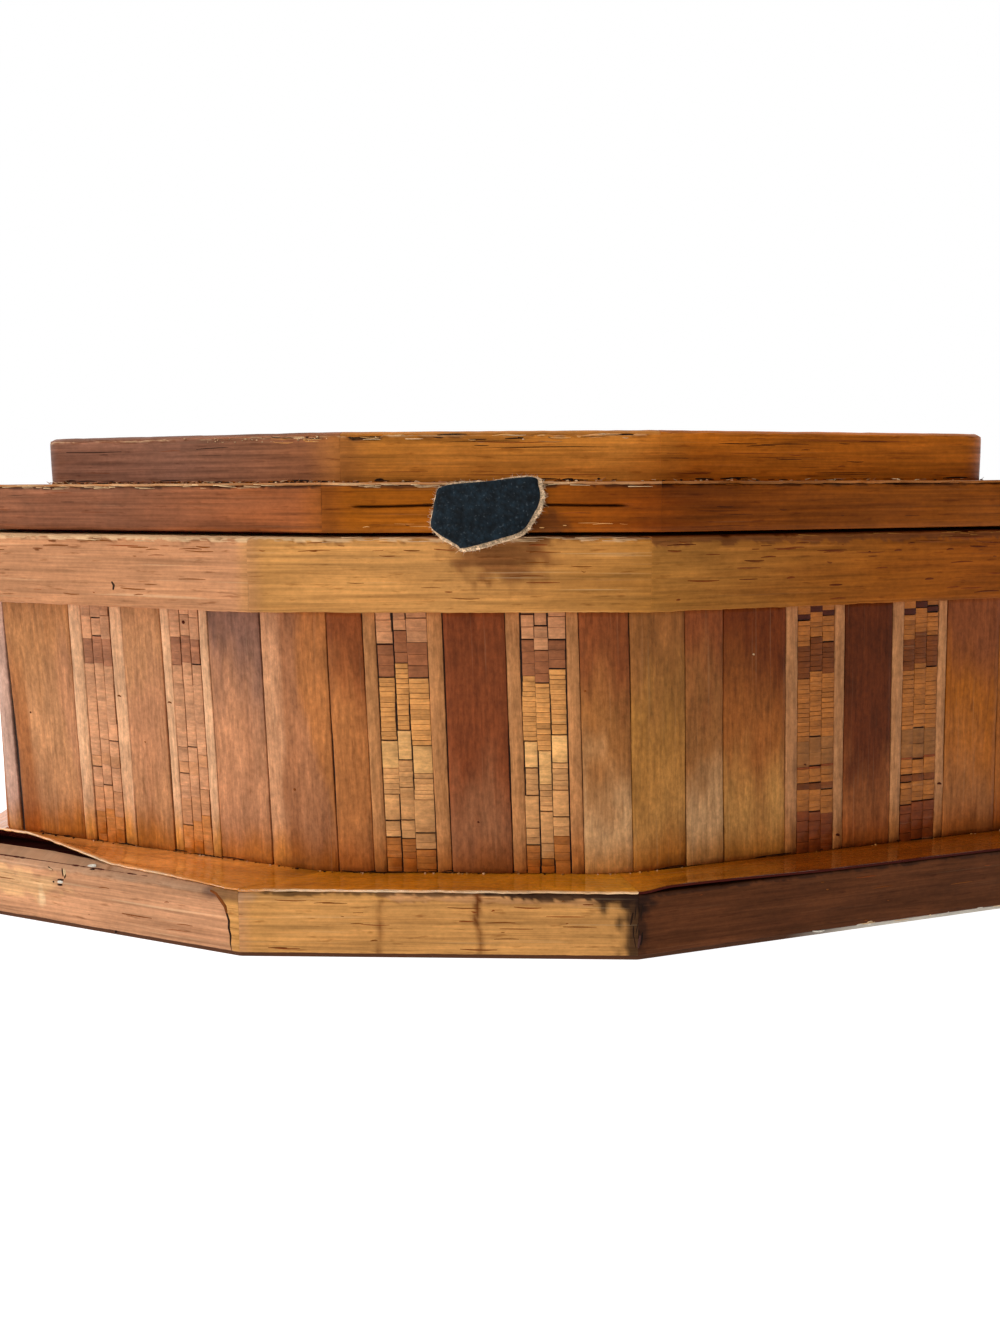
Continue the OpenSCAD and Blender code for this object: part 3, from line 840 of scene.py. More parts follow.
def band_loop(low, high, thick, edge, crack):
    """Loop of a band: a up, h outward from its back; front edges broken, rows closer near the top."""
    fine = min(2.4, (high - low) / 2)
    face = list(np.arange(low + edge, high - fine, 0.7)) + list(np.arange(high - fine, high - edge, 0.3))
    face.append(high - edge)
    if crack:
        face = sorted(face + [crack["z"] - crack["width"], crack["z"], crack["z"] + crack["width"]])
    lower = [(low, 0), (low, thick - edge), (low + 0.3 * edge, thick - 0.4 * edge)]
    upper = [(high - 0.3 * edge, thick - 0.4 * edge), (high, thick - edge), (high, 0)]
    return lower + [(z, thick) for z in face] + upper


# Bands parted by less than this are one straw bent round the corner.
BENT_GAP = 0.02
# Distance between a band's stations in the photo's view, and elsewhere.
BAND_PITCH = 0.45
BAND_PITCH_UNSEEN = 1.2


def band(batch, ring, side, low, high, thick, tones, seed, worn=0.0, chip=0.15, gap=0.006, edge=0.25,
         crack=None, marks=(), scars=(), bevel=None, inner=None, soft=2.5, shift=None):
    """One straw band along a side, its outer face on the ring, with worn edges and marks."""
    s0, s1 = ring.span(side, gap)
    own = tones[SIDES[side]]
    before = tones.get(SIDES[side - 1], own)[-1]
    after = tones.get(SIDES[(side + 1) % 8], own)[0]
    bent = 0.5 if gap < BENT_GAP else 0.0

    def groove(a, b):
        return (np.abs(a - crack["z"]) < 0.01) * spans(b, crack["ranges"], 3.0)

    def place(a, h, b):
        outer = h > 0.4 * thick
        rim = ease(a, high - 1.2, high) * outer
        foot = ease(-a, -low - 0.8, -low) * outer
        chipped = chip * (0.25 + ease(ragged(b, seed), 0.1, 0.7)) + 0.5 * spans(b, scars, 1.0)
        z = a - rim * chipped + foot * 0.4 * chip * (1 + ragged(b + 50, seed))
        out = h - thick + outer * 0.06 * wobble(a * 0.3, b * 0.12, seed + 2) - 0.5 * rim * chipped
        if crack:
            out = out - outer * crack["depth"] * groove(a, b)
            z = z + (np.abs(a - crack["z"]) < 2 * crack["width"]) * 0.2 * sway(b * 0.12, seed + 5)
        if bevel:
            leaning = ease(a, high - 0.5, high) * bevel((b - s0) / (s1 - s0))
            out = out - BEVEL_IN * leaning
            z = z + BEVEL_UP * leaning
        jag = 2.5 * gap * sway(a * 1.1, seed + 7)
        s = b + jag * (1 - ease(np.minimum(b - s0, s1 - b), 0, 1.5))
        if inner:
            x, y = ring.at(s, 0 * b)
            back = inner.at(inner.start[side] + inner.length(side) * (b - s0) / (s1 - s0), 0 * b)
            return x - (back[0] - x) * out / thick, y - (back[1] - y) * out / thick, z
        return *ring.at(s, out), z

    def tint(a, h, b):
        share = (b - s0) / (s1 - s0) + 0.05 * wobble(a * 0.5, b * 0.1, seed + 8)
        blotch = 0.1 * wobble(a * 0.25, b * 0.05, seed + 4) + 0.05 * wobble(a * 0.8, b * 0.3, seed + 6)
        blotch = blotch * ease(np.minimum(b - s0, s1 - b), 0, 2 * soft)
        colour = along_tones(own, share) * (1 + blotch)[..., None]
        colour = mix(colour, tone(before), bent * (1 - ease(b - s0, 0, soft)))
        colour = mix(colour, tone(after), bent * (1 - ease(s1 - b, 0, soft)))
        for paint in marks:
            colour = paint(colour, a, b)
        if crack:
            colour = mix(colour, tone("soot"), 0.95 * groove(a, b))
        if worn:
            reach = worn * (0.15 + 0.85 * ease(ragged(b + 20, seed), -0.4, 0.6))
            bare = ease(a, high - reach - 0.2, high - reach + 0.1)
            flaked = bell((a - high + reach + 0.3) / 0.2) * ease(ragged(b + 90, seed), 0.0, 0.4)
            colour = mix(colour, tone("fray"), 0.65 * bare)
            colour = mix(colour, tone("tile_brown") * 0.6, 0.7 * flaked)
        return mix(colour, tone("soot"), 0.8 * spans(b, scars, 1.0) * ease(a, high - 1.1, high - 0.7))

    pitch = BAND_PITCH if side in (FRONT_LEFT, FRONT, FRONT_RIGHT) else BAND_PITCH_UNSEEN
    loop = band_loop(low, high, thick, edge, crack)
    batch.skin(loop, spaced(s0, s1, pitch), place, tint, lambda a, h, b: (a + h, b), shift)


def mark(paint):
    """Makes paint(colour, a, b, ...) into a maker of marks, which take only colour, a and b."""
    return lambda *look: lambda colour, a, b: paint(colour, a, b, *look)


@mark
def darkened_top_edge(colour, a, b, high, depth, strength, seed, ranges, name="soot"):
    """A darker band just under a band's top edge."""
    reach = depth * (0.3 + 0.7 * ease(ragged(b, seed), -0.5, 0.5)) * spans(b, ranges, 4.0)
    cover = strength * ease(a, high - reach - 0.25, high - reach + 0.1) * ease(reach, 0.05, 0.3)
    return mix(colour, tone(name), cover)


@mark
def knot(colour, a, b, s, strength):
    """A brown growth ring across a straw."""
    across = b - s + 0.5 * sway(a * 0.5, s) + 0.2 * sway(a * 1.7, s)
    dark = strength * bell(across / 0.5) * (0.6 + 0.4 * wobble(a * 1.2, b * 0.5, s))
    return mix(colour, tone("tile_brown") * 0.7, np.clip(dark, 0, 1))


@mark
def blot(colour, a, b, s, z, wide, tall, name, strength, seed):
    """An irregular patch of a tone around one place: stains on most bands, painted shadow next to the pull
    tab.
    """
    far = np.hypot((b - s) / wide, (a - z) / tall) + 0.35 * wobble(a * 0.9, b * 0.9, seed)
    return mix(colour, tone(name), strength * (1 - ease(far, 0.5, 1.1)))


@mark
def corner_shade(colour, a, b, ring, strength, wide=1.8, past=1.0):
    """Painted shade: the darker strip just past the front's left corner, where a straw is bent round it."""
    far = np.minimum(np.abs(b - past), np.abs(b - ring.total - past)) / wide
    return mix(colour, 0.55 * colour, strength * bell(far))


@mark
def torn_strip(colour, a, b, high, depth, name, strength, seed, ranges):
    """A weathered strip along the top where the straw's skin is gone."""
    reach = depth * (0.85 + 0.3 * ragged(b * 0.6, seed)) * spans(b, ranges, 6.0)
    rough = strength * (0.85 + 0.2 * wobble(a * 1.4, b * 0.8, seed))
    gone = ease(a, high - reach - 0.15, high - reach + 0.15) * ease(reach, 0.1, 0.5)
    line = bell((a - high + reach) / 0.16) * ease(ragged(b * 1.5, seed + 3), 0.1, 0.5)
    colour = mix(colour, tone(name), rough * gone)
    return mix(colour, tone("tile_brown") * 0.6, 0.4 * line * ease(reach, 0.2, 0.6))


# The front-left plinth corner's crack, as millimetres before the corner and below the ledge.
CORNER_CRACK = (
    (5.1, 0.5), (4.0, 0.9), (3.1, 1.9), (2.4, 2.8), (2.2, 3.8),
    (1.8, 5.0), (1.9, 6.2), (1.6, 7.4), (1.7, 8.6), (1.5, 9.8),
)


@mark
def past_crack(colour, a, b, end, name):
    """The tone that begins at the corner's crack."""
    before, below = np.array(CORNER_CRACK).T
    line = end - np.interp(LEDGE_Z - a, below, before)
    return mix(colour, tone(name), ease(b, line - 0.2, line + 0.2))


def scratch(batch, ring, path, radius, name, out=0.0):
    """A thin mark let into a face, along places of (distance, height)."""
    path = np.array(path, float)
    steps = np.arange(len(path))
    run = np.gradient(path, axis=0)
    across = np.stack([-run[:, 1], run[:, 0]], -1) / np.hypot(*run.T)[:, None]
    taper = radius * (0.35 + 0.65 * np.sin(np.pi * (steps + 0.5) / len(path)))
    colour = tone(name) * batch.rng.uniform(0.8, 1.1)

    def place(a, h, b):
        index = b.astype(int)
        along = path[index, 0] + across[index, 0] * a * taper[index]
        z = path[index, 1] + across[index, 1] * a * taper[index]
        return *ring.at(along, out + 0.4 * h * taper[index]), z

    batch.skin(polygon(6), steps, place, flat(colour))


def dashes(batch, ring, side, low, high, count, longest, radius, names, out=0.0, first=0.0):
    """Short grain marks scattered over a band, from a share of its length on."""
    rng = batch.rng
    begin = ring.start[side] + 1 + first * ring.length(side)
    for _ in range(count):
        s = rng.uniform(begin, ring.start[side + 1] - 1 - longest)
        z = rng.uniform(low, high)
        length = longest * rng.uniform(0.15, 1.0) ** 1.5
        bow = rng.uniform(-0.2, 0.2)
        path = [(s + length * t, z + bow * math.sin(2.5 * t)) for t in np.linspace(0, 1, 7)]
        scratch(batch, ring, path, radius * rng.uniform(0.5, 1.0), rng.choice(names), out)


PLINTH_TONES = {
    "front_left": ("plinth_left",), "front": ("plinth_front",), "front_right": ("plinth_dark",),
    "right_end": ("plinth_dark", "rail_right"), "left_end": ("rail_left", "plinth_left"),
    "back_right": ("rail_right", "plinth_front"), "back": ("plinth_front",),
    "back_left": ("rail_left", "plinth_front"),
}
RAIL_TONES = {
    "front_left": ("rail_left",), "front": ("rail_front", "rail_front", "rail_dim"),
    "front_right": ("rail_dim", "rail_right", "rail_red"), "right_end": ("rail_red",),
    "left_end": ("rail_left",),
}
LID_TONES = {
    "front_left": ("lid_mauve", "lid_mauve", "lid_red"), "front": ("lid_gold", "lid_gold", "lid_bay"),
    "front_right": ("lid_dark", "lid_russet", "lid_russet"), "right_end": ("lid_russet",),
    "left_end": ("lid_mauve",),
}
TOP_TONES = {
    "front_left": ("top_mauve", "top_mauve", "top_red"), "front": ("top_gold",),
    "front_right": ("top_amber",), "right_end": ("top_amber",), "back_right": ("top_amber",),
    "back": ("top_gold",), "back_left": ("top_red",), "left_end": ("top_mauve",),
}
LID_CRACK = {
    "z": LID_Z + 4.1,
    "width": 0.3,
    "depth": 0.7,
    "ranges": ((LID.front_at(-24), LID.front_at(-8)), (LID.front_at(3), LID.front_at(19.5))),
}
TOP_SCARS = ((TOP.front_at(-25), TOP.front_at(-19)),)
# Grain shifts that carry a straw round its corners.
RAIL_GRAIN = (211, 0.0)
LID_GRAIN = (83, 0.0)
TOP_GRAIN = (149.0, 0.0)


def all_along(ring, side):
    """A range that reaches past both ends of a side."""
    return (ring.span(side, -9),)


def one_straw(side, shift):
    """The shift, on the front and the sides right of it."""
    return shift if side in (FRONT, *RIGHT_SIDES) else None


def plinth_marks(side, here):
    """Stains, tears, knots and darker top edges of one plinth side."""
    start, end = PLINTH.span(side)
    if here == "front":
        return (
            torn_strip(LEDGE_Z, 1.9, "plinth_left", 0.5, 21, ((start + 20, end - 2),)),
            darkened_top_edge(LEDGE_Z, 0.6, 0.75, 22, ((start + 2, end + 9),)),
            darkened_top_edge(LEDGE_Z, 1.2, 0.9, 36, ((start + 36, end + 9),)),
            knot(PLINTH.front_at(-19.1), 0.8),
            knot(PLINTH.front_at(-4.0), 1.3),
            blot(end, LEDGE_Z - 0.6, 9.0, 3.0, "soot", 0.9, 23),
            blot(end, LEDGE_Z - 5, 3.4, 8.0, "soot", 0.85, 24),
            blot(start, LEDGE_Z - 0.8, 3.0, 1.4, "grey_tan", 0.6, 25),
        )
    if here == "front_right":
        return (
            darkened_top_edge(LEDGE_Z, 0.7, 0.7, 26, all_along(PLINTH, side)),
            blot(start, LEDGE_Z - 1.2, 3.0, 2.2, "soot", 0.9, 27),
            blot(start, LEDGE_Z - 6, 1.5, 5.5, "soot", 0.7, 28),
        )
    if here == "front_left":
        return (
            blot(start + 14, LEDGE_Z - 4.0, 13.0, 3.0, "patch", 0.8, 29),
            blot(start + 21, LEDGE_Z - 6.2, 0.8, 2.4, "fray", 0.8, 35),
            torn_strip(LEDGE_Z, 1.3, "grey_tan", 1.0, 30, all_along(PLINTH, side)),
            past_crack(end, "plinth_front"),
            blot(end - 2, LEDGE_Z - 0.6, 5.0, 1.4, "grime", 0.6, 32),
        )
    return (darkened_top_edge(LEDGE_Z, 0.5, 0.6, 33 + side, all_along(PLINTH, side)),)


def plinth_bands():
    for side, here in enumerate(SIDES):
        batch = Batch(300 + side)
        band(
            batch, PLINTH, side, CARD_Z, LEDGE_Z, EDGING_T, PLINTH_TONES, 17 + side, chip=0.12,
            gap=0.012 if here in ("front_left", "front") else 0.05,
            marks=plinth_marks(side, here), bevel=left_bevel if here == "front_left" else None,
        )
        material = dark_straw if "right" in here else band_straw
        batch.build(f"plinth_straw_{here}", material, "box", "straw", [f"plinth_edge_{here}"])


def rail_band(side, here):
    batch = Batch(400 + side)
    dim = "right" in here
    marks = [corner_shade(RAIL, 0.25)]
    if here == "front":
        # Painted shadow of the pull tab on the rail below it, mixed with handling grime.
        under_tab = RAIL.front_at((TAB_LOW[0] + TAB_HIGH[0]) / 2 + 2.0)
        marks.append(blot(under_tab, RIM_Z - 1.2, 9.0, 6.5, "handled", 0.75, 61))
    if dim:
        marks.append(darkened_top_edge(RIM_Z - 0.4, 1.3, 0.75, 63, all_along(RAIL, side), "handled"))
    band(
        batch, RAIL, side, RAIL_Z, RIM_Z, RAIL_T, RAIL_TONES, 57 + side, worn=0.0 if dim else 0.75,
        chip=0.25, marks=marks, inner=WALL, soft=3.0, shift=one_straw(side, RAIL_GRAIN),
    )
    material = dark_straw if dim else band_straw
    batch.build(f"rail_straw_{here}", material, "box", "straw", [f"rail_{here}"])


def lid_band(side, here):
    batch = Batch(500 + side)
    marks = [darkened_top_edge(STEP_LOW_Z, 0.4, 0.7, 41 + side, all_along(LID, side)), corner_shade(LID, 0.5)]
    if here == "front":
        # Painted shadow of the pull tab on the lid, to its right.
        marks.append(blot(LID.front_at(TAB_HIGH[0] + 0.5), LID_Z + 1.2, 4.5, 2.8, "soot", 0.6, 62))
    band(
        batch, LID, side, LID_Z, STEP_LOW_Z, EDGING_T, LID_TONES, 97 + side, chip=0.15,
        crack=LID_CRACK if here == "front" else None,
        marks=marks, soft=5.0, shift=one_straw(side, LID_GRAIN),
    )
    batch.build(f"lid_straw_{here}", lid_straw, "lid", "straw", [f"lid_edge_{here}"])


def top_bands():
    batch = Batch(600)
    for side, here in enumerate(SIDES):
        band(
            batch, TOP, side, STEP_LOW_Z, TOP_LOW_Z, EDGING_T, TOP_TONES, 950 + side,
            worn=0.0 if "right" in here else 0.25, edge=0.3, scars=TOP_SCARS if here == "front" else (),
            marks=[corner_shade(TOP, 0.3)], soft=7.0, shift=TOP_GRAIN,
        )
    batch.build("top_straw_edging", lid_straw, "lid", "straw", ["top_edging"])


# Grain dashes on the sides: how many on the rail, and their radius there.
SIDE_DASHES = (
    (FRONT_LEFT, 24, 0.11), (FRONT, 22, 0.11), (FRONT_RIGHT, 40, 0.17),
    (LEFT_END, 10, 0.11), (RIGHT_END, 14, 0.14),
)


def grain_marks():
    """Dark grain dashes, cracks and knots on the bands."""
    lower, upper = Batch(640), Batch(650)
    browns = ("tile_brown", "tile_dark", "stain")
    deep = ("umber", "rust", "tile_brown")
    dark = ("tile_dark", "soot")
    for side, count, radius in SIDE_DASHES:
        names = deep if side in RIGHT_SIDES else browns
        dashes(lower, RAIL, side, RAIL_Z + 1, RIM_Z - 0.9, count, 6, radius, names)
        dashes(lower, RAIL, side, RIM_Z - 2.6, RIM_Z - 0.8, count // 2, 7, radius, names)
        dashes(upper, LID, side, LID_Z + 0.6, STEP_LOW_Z - 0.6, count // 3, 8, 0.06, dark)
        dashes(upper, TOP, side, STEP_Z + 1, TOP_LOW_Z - 0.7, count // 2, 22, 0.07, dark)
    dashes(upper, LID, FRONT, LID_Z + 0.2, LID_Z + 1.4, 16, 5, 0.06, ("gold", "honey"), 0.0, 0.1)
    dashes(lower, PLINTH, FRONT_RIGHT, CARD_Z - 0.1, CARD_Z + 0.3, 12, 4, 0.16, ("card", "fray"), 0.0, 0.35)
    for side, count in ((FRONT_LEFT, 12), (FRONT, 26), (FRONT_RIGHT, 10)):
        dashes(lower, PLINTH, side, CARD_Z + 0.6, LEDGE_Z - 1.2, count, 6, 0.11, browns)
    crack = [(PLINTH.total - before, LEDGE_Z - below) for before, below in CORNER_CRACK]
    scratch(lower, PLINTH, crack[:5], 0.34, "tile_brown")
    scratch(lower, PLINTH, crack[2:], 0.2, "soot")
    rng = lower.rng
    for _ in range(12):
        s = PLINTH.start[FRONT_RIGHT] + rng.uniform(-1.2, 1.0)
        top = rng.uniform(CARD_Z + 2.5, LEDGE_Z - 1)
        slant = rng.uniform(-0.4, 0.4)
        path = [(s + slant * t, top - 2.0 * t) for t in np.linspace(0, 1, 5)]
        scratch(lower, PLINTH, path, rng.uniform(0.08, 0.25), rng.choice(("soot", "glue", "grime")))
    knot_s = RAIL.start[FRONT_LEFT] + 36
    path = [(knot_s, RAIL_Z + 4.2), (knot_s + 0.4, RAIL_Z + 3.6), (knot_s + 0.2, RAIL_Z + 2.9)]
    scratch(lower, RAIL, path, 0.25, "soot")
    lower.build("box_grain_marks", loose_fibre, "box", "straw")
    upper.build("lid_grain_marks", loose_fibre, "lid", "straw")


plinth_bands()
for layer in (rail_band, lid_band):
    for side, here in enumerate(SIDES):
        if side not in BACK_SIDES:
            layer(side, here)
top_bands()
grain_marks()


# Flat straws on the ledge, the step and the top

TREAD_GAP = 0.03
TREAD_ROWS = [0, 0.03, 0.15, 0.3, 0.4, 0.5, 0.6, 0.7, 0.8, 0.88, 0.94, 0.975, 0.995]
TREAD_STEPS = np.linspace(0, 1, 120)
TREAD_GRAIN_W = 9
RUBBED = 0.125


def tread(batch, side, inner, inner_out, outer, outer_out, low, high, names, seed, lift=None, back=None,
          fray=None, rim="fray", wear=RUBBED):
    """Flat straw veneer of one side between two rings; lift raises it and back draws its edge in."""
    i0, i1 = inner.span(side, TREAD_GAP)
    o0, o1 = outer.span(side, TREAD_GAP)

    def place(a, h, b):
        drawn = back(b) if back else 0
        near = inner.at(i0 + (i1 - i0) * b, inner_out + 0 * b)
        far = outer.at(o0 + (o1 - o0) * b, outer_out - drawn + 0 * b)
        x = near[0] + (far[0] - near[0]) * a
        y = near[1] + (far[1] - near[1]) * a
        raised = lift(a, b) if lift else 0
        rubbed = wear * ease(a, 0.96, 1.0) * ease(ragged(b * 60, seed), -0.2, 0.6)
        return x, y, h + raised + (h > low) * (0.04 * wobble(a * 4, b * 30, seed) - rubbed)

    def tint(a, h, b):
        blotch = 0.12 * wobble(a * 3, b * 5, seed) + 0.08 * wobble(a * 9, b * 14, seed + 1)
        colour = along_tones(names, b) * (1 + blotch)[..., None]
        bare = ease(a + 0.02 * ragged(b * 90, seed), 0.955, 0.985)
        if fray:
            colour = mix(colour, tone(rim), fray(b) * bare)
        return mix(colour, tone("maroon"), (h <= low) * 1.0)

    def grain(a, h, b):
        return a * TREAD_GRAIN_W + h, b * (o1 - o0)

    edge = [(1, high - 0.4 * wear), (1, high - 0.2), (0.985, low + 0.02)]
    loop = [(a, high) for a in TREAD_ROWS] + edge + [(a, low) for a in TREAD_ROWS[-3::-1]]
    batch.skin(loop, TREAD_STEPS, place, tint, grain)


# The pale front-left ledge tone is partly the veneer's own colour and partly painted reflection.
LEDGE_TONES = {
    "front_left": ("ledge_left", "ledge_left", "ledge_left", "ledge"), "left_end": ("ledge_left",),
    "front": ("ledge", "ledge", "ledge", "ledge_gold"),
    "front_right": ("ledge", "ledge_dark", "ledge_dark", "ledge_dark"), "right_end": ("ledge_dark",),
}


def left_lift(a, b):
    """Height by which the front-left veneer has come away from the plinth."""
    loose = LIFT_HEIGHT * np.clip((0.56 - b) / 0.3, 0, 1) * ease(a, 0.3, 1.0)
    return loose + BEVEL_UP * left_bevel(b) * ease(a, 0.7, 1.0)


def left_back(b):
    """How far the front-left veneer's edge is drawn in with the worn plinth."""
    return BEVEL_IN * left_bevel(b)


def right_lift(a, b):
    """A slight lift of the front-right veneer near its corner."""
    return 0.5 * ease(b, 0.01, 0.07) * (1 - ease(b, 0.1, 0.45)) * ease(a, 0.5, 1.0)


def left_rim(b):
    """Paleness of the front-left veneer's broken edge."""
    return 0.9 * (1 - ease(b, 0.7, 0.9)) * (0.6 + 0.4 * sway(b * 25, 3))


def front_rim(b):
    """Paleness of the front veneer's edge."""
    return 0.95 * ease(b, 0.02, 0.12) * (0.75 + 0.25 * sway(b * 20, 4))


def right_rim(b):
    """Darkness of the right-hand veneers' edge."""
    return 0.8 + 0.2 * sway(b * 15, 6)


# What each ledge veneer has: lift, draw back, rim, the rim's tone and wear.
LEDGE_LOOKS = {
    "front_left": (left_lift, left_back, left_rim),
    "front": (None, None, front_rim),
    "front_right": (right_lift, None, right_rim, "maroon", 0.0),
    "right_end": (None, None, right_rim, "maroon", 0.0),
}


def ledge_straws():
    batch = Batch(700)
    for side, here in enumerate(SIDES):
        names = LEDGE_TONES.get(here, ("ledge",))
        look = LEDGE_LOOKS.get(here, ())
        tread(batch, side, WALL, 0.0, PLINTH, 0.0, LEDGE_Z, PLINTH_Z, names, 70 + side, *look)
    batch.build("ledge_straws", ledge_straw, "box", "varnished_straw", ["ledge_veneer"])


def step_rim(level):
    """Paleness of the step veneer's edge along one side, partly frayed straw and partly painted highlight.
    """
    return lambda b: level * (0.6 + 0.4 * sway(b * 20, 5))


def step_straws():
    batch = Batch(710)
    for side, here in enumerate(SIDES):
        # The step's edge is paler on the left and front than on the right: partly painted highlight.
        paleness = step_rim(0.12 if "right" in here else 0.5)
        tread(batch, side, TOP, 0.0, LID, 0.0, STEP_LOW_Z, STEP_Z, ("lid_gold",), 90 + side, fray=paleness)
    batch.build("step_straws", lid_straw, "lid", "varnished_straw", ["step_veneer"])


BORDER_W = 7
LINE_W = 2
BORDER_GAP = 0.1
STAR_GAP = 0.35
STAR_SHARE = 0.36
STAR_FILL = 0.97
RAYS = 4
RAY_GAP = 0.004


def flat_piece(batch, points, name, seed):
    """A flat straw piece of the top with broken edges, its grain from the middle outward."""
    points = np.array(points)
    centre = points.mean(0)
    run = centre / max(np.hypot(*centre), 1e-6)
    base = tone(name) * (1 + 0.1 * math.sin(seed * 4.7))

    def place(a, h, b):
        inset = 1 - 0.06 * ease(b, 0.6, 1.0)
        x = centre[0] + (a - centre[0]) * inset
        y = centre[1] + (h - centre[1]) * inset
        return x, y, TOP_LOW_Z + (TOP_Z - TOP_LOW_Z) * b

    def tint(a, h, b):
        # The piece's sides are darker than its face: painted shade.
        return base * (0.8 + 0.2 * ease(b, 0.4, 0.9))[..., None]

    def grain(a, h, b):
        return a * run[1] - h * run[0] + b, a * run[0] + h * run[1]

    batch.skin(points, [0, 0.6, 0.85, 1], place, tint, grain)


def top_roll(a, b):
    """Drop of the top's outer edge where it is rubbed round."""
    return -0.4 * ease(a, 0.86, 1.0)


def top_straws():
    """Border, pale line, rays and star of the top panel."""
    batch = Batch(720)
    inset = BORDER_W + LINE_W + BORDER_GAP
    line = -BORDER_W - LINE_W
    level = (TOP_LOW_Z, TOP_Z)
    for side, here in enumerate(SIDES):
        border = (TOP, BORDER_GAP - BORDER_W, TOP, -BORDER_GAP)
        tread(batch, side, *border, *level, TOP_TONES[here], 200 + side, top_roll)
        tread(batch, side, TOP, line, TOP, -BORDER_W, *level, ("star_pale",), 220 + side)
        p, q = (np.array(TOP.at(s, -inset)) for s in TOP.span(side))
        for k in range(RAYS):
            a = p + (q - p) * (k / RAYS + RAY_GAP)
            b = p + (q - p) * ((k + 1) / RAYS - RAY_GAP)
            name = "honey" if (k + side * RAYS) % 2 else "russet"
            flat_piece(batch, [a, b, b * STAR_SHARE, a * STAR_SHARE], name, 10 * side + k)
        m = (p + q) / 2
        for k, (a, b) in enumerate(((p, m), (m, q))):
            name = "star_pale" if k else "star_dark"
            points = np.array([(0, 0), a * STAR_SHARE, b * STAR_SHARE]) * STAR_FILL
            outward = (a + b) / np.hypot(*(a + b))
            flat_piece(batch, points + outward * STAR_GAP, name, 300 + side + k)
    batch.build("top_star", lid_straw, "lid", "varnished_straw", ["top_marquetry"])


ledge_straws()
step_straws()
top_straws()


# Loose fibres and crumbs


def fibre(batch, start, heading, length, radius, name, curl):
    """One thin broken fibre from a place in millimetres."""
    heading = np.array(heading) / np.linalg.norm(heading)
    side = np.cross(heading, (0.3, 0.2, 1.0))
    side /= np.linalg.norm(side)
    rise = np.cross(side, heading)
    bend = np.array([batch.rng.uniform(-curl, curl) for _ in range(3)])
    colour = tone(name) * batch.rng.uniform(0.7, 1.1)

    def place(a, h, b):
        thin = 1 - 0.7 * b
        points = np.array(start) + heading * length * b[..., None] + bend * length * (b**2)[..., None]
        points = points + side * (a * radius * thin)[..., None] + rise * (h * radius * thin)[..., None]
        return points[..., 0], points[..., 1], points[..., 2]

    batch.skin(polygon(4), np.linspace(0, 1, 5), place, flat(colour))


def crumb(batch, x, y, z, size, name):
    """A small lump of dried glue or chipped straw."""
    seed = batch.rng.uniform(0, 100)
    colour = tone(name) * batch.rng.uniform(0.6, 1.1)
    squat = batch.rng.uniform(0.4, 0.8)

    def place(a, h, b):
        round_off = np.sqrt(np.maximum(1 - (b * 0.95) ** 2, 0.05))
        round_off = round_off * (1 + 0.5 * wobble(a * 2, h * 2 + b, seed))
        return x + size * a * round_off, y + size * h * round_off, z + size * squat * b

    batch.skin(polygon(6), [-1, -0.5, 0.2, 0.75, 1], place, flat(colour))


def step_fuzz():
    """Broken fibres and glue along the joint between the two lid tiers."""
    batch = Batch(800)
    rng = batch.rng
    for side, count in ((FRONT_LEFT, 120), (FRONT, 40), (FRONT_RIGHT, 36), (LEFT_END, 30), (RIGHT_END, 24)):
        for _ in range(count):
            s = rng.uniform(*TOP.span(side))
            x, y = TOP.at(s, rng.uniform(0.05, 0.4))
            nx, ny = TOP.at(s, 1.0)
            x1, y1 = TOP.at(s + 1, 0.2)
            along = np.array((x1 - x, y1 - y, 0)) * rng.choice((-1, 1))
            outward = np.array((nx - x, ny - y, 0))
            heading = along + outward * rng.uniform(-0.2, 0.6) + np.array((0, 0, rng.uniform(-0.05, 0.25)))
            name = rng.choice(("fray", "tile_tan", "lid_gold", "tile_brown"))
            start = (x, y, STEP_Z + rng.uniform(0.02, 0.3))
            fibre(batch, start, heading, rng.uniform(0.4, 1.5), rng.uniform(0.06, 0.12), name, 0.3)
        for _ in range(count // 2):
            x, y = TOP.at(rng.uniform(*TOP.span(side)), rng.uniform(0.1, 0.5))
            name = rng.choice(("fray", "soot", "tile_brown", "rose"))
            crumb(batch, x, y, STEP_Z + 0.1, rng.uniform(0.12, 0.34), name)
        dashes(batch, TOP, side, STEP_Z + 0.1, STEP_Z + 0.5, count // 4, 6, 0.16, ("soot", "glue"))
    batch.build("step_fuzz", loose_fibre, "lid", "straw")


def top_nicks():
    """Pale nicks along the top tier's upper edge."""
    batch = Batch(815)
    rng = batch.rng
    pale = ("fray", "honey", "gold")
    for side, count, first in ((FRONT_LEFT, 8, 0.75), (FRONT, 20, 0.0)):
        dashes(batch, TOP, side, TOP_LOW_Z - 1.3, TOP_LOW_Z - 0.2, count, 4, 0.1, pale, 0.0, first)
        dashes(batch, TOP, side, TOP_LOW_Z - 0.9, TOP_LOW_Z - 0.1, count // 2, 5, 0.1, ("soot",), 0.0, first)
    for _ in range(24):
        x, y = TOP.at(rng.uniform(TOP.start[FRONT_LEFT] + 30, TOP.total), rng.uniform(-0.1, 0.05))
        crumb(batch, x, y, TOP_LOW_Z - rng.uniform(0.1, 1.0), rng.uniform(0.1, 0.22), "fray")
    batch.build("top_nicks", loose_fibre, "lid", "straw")


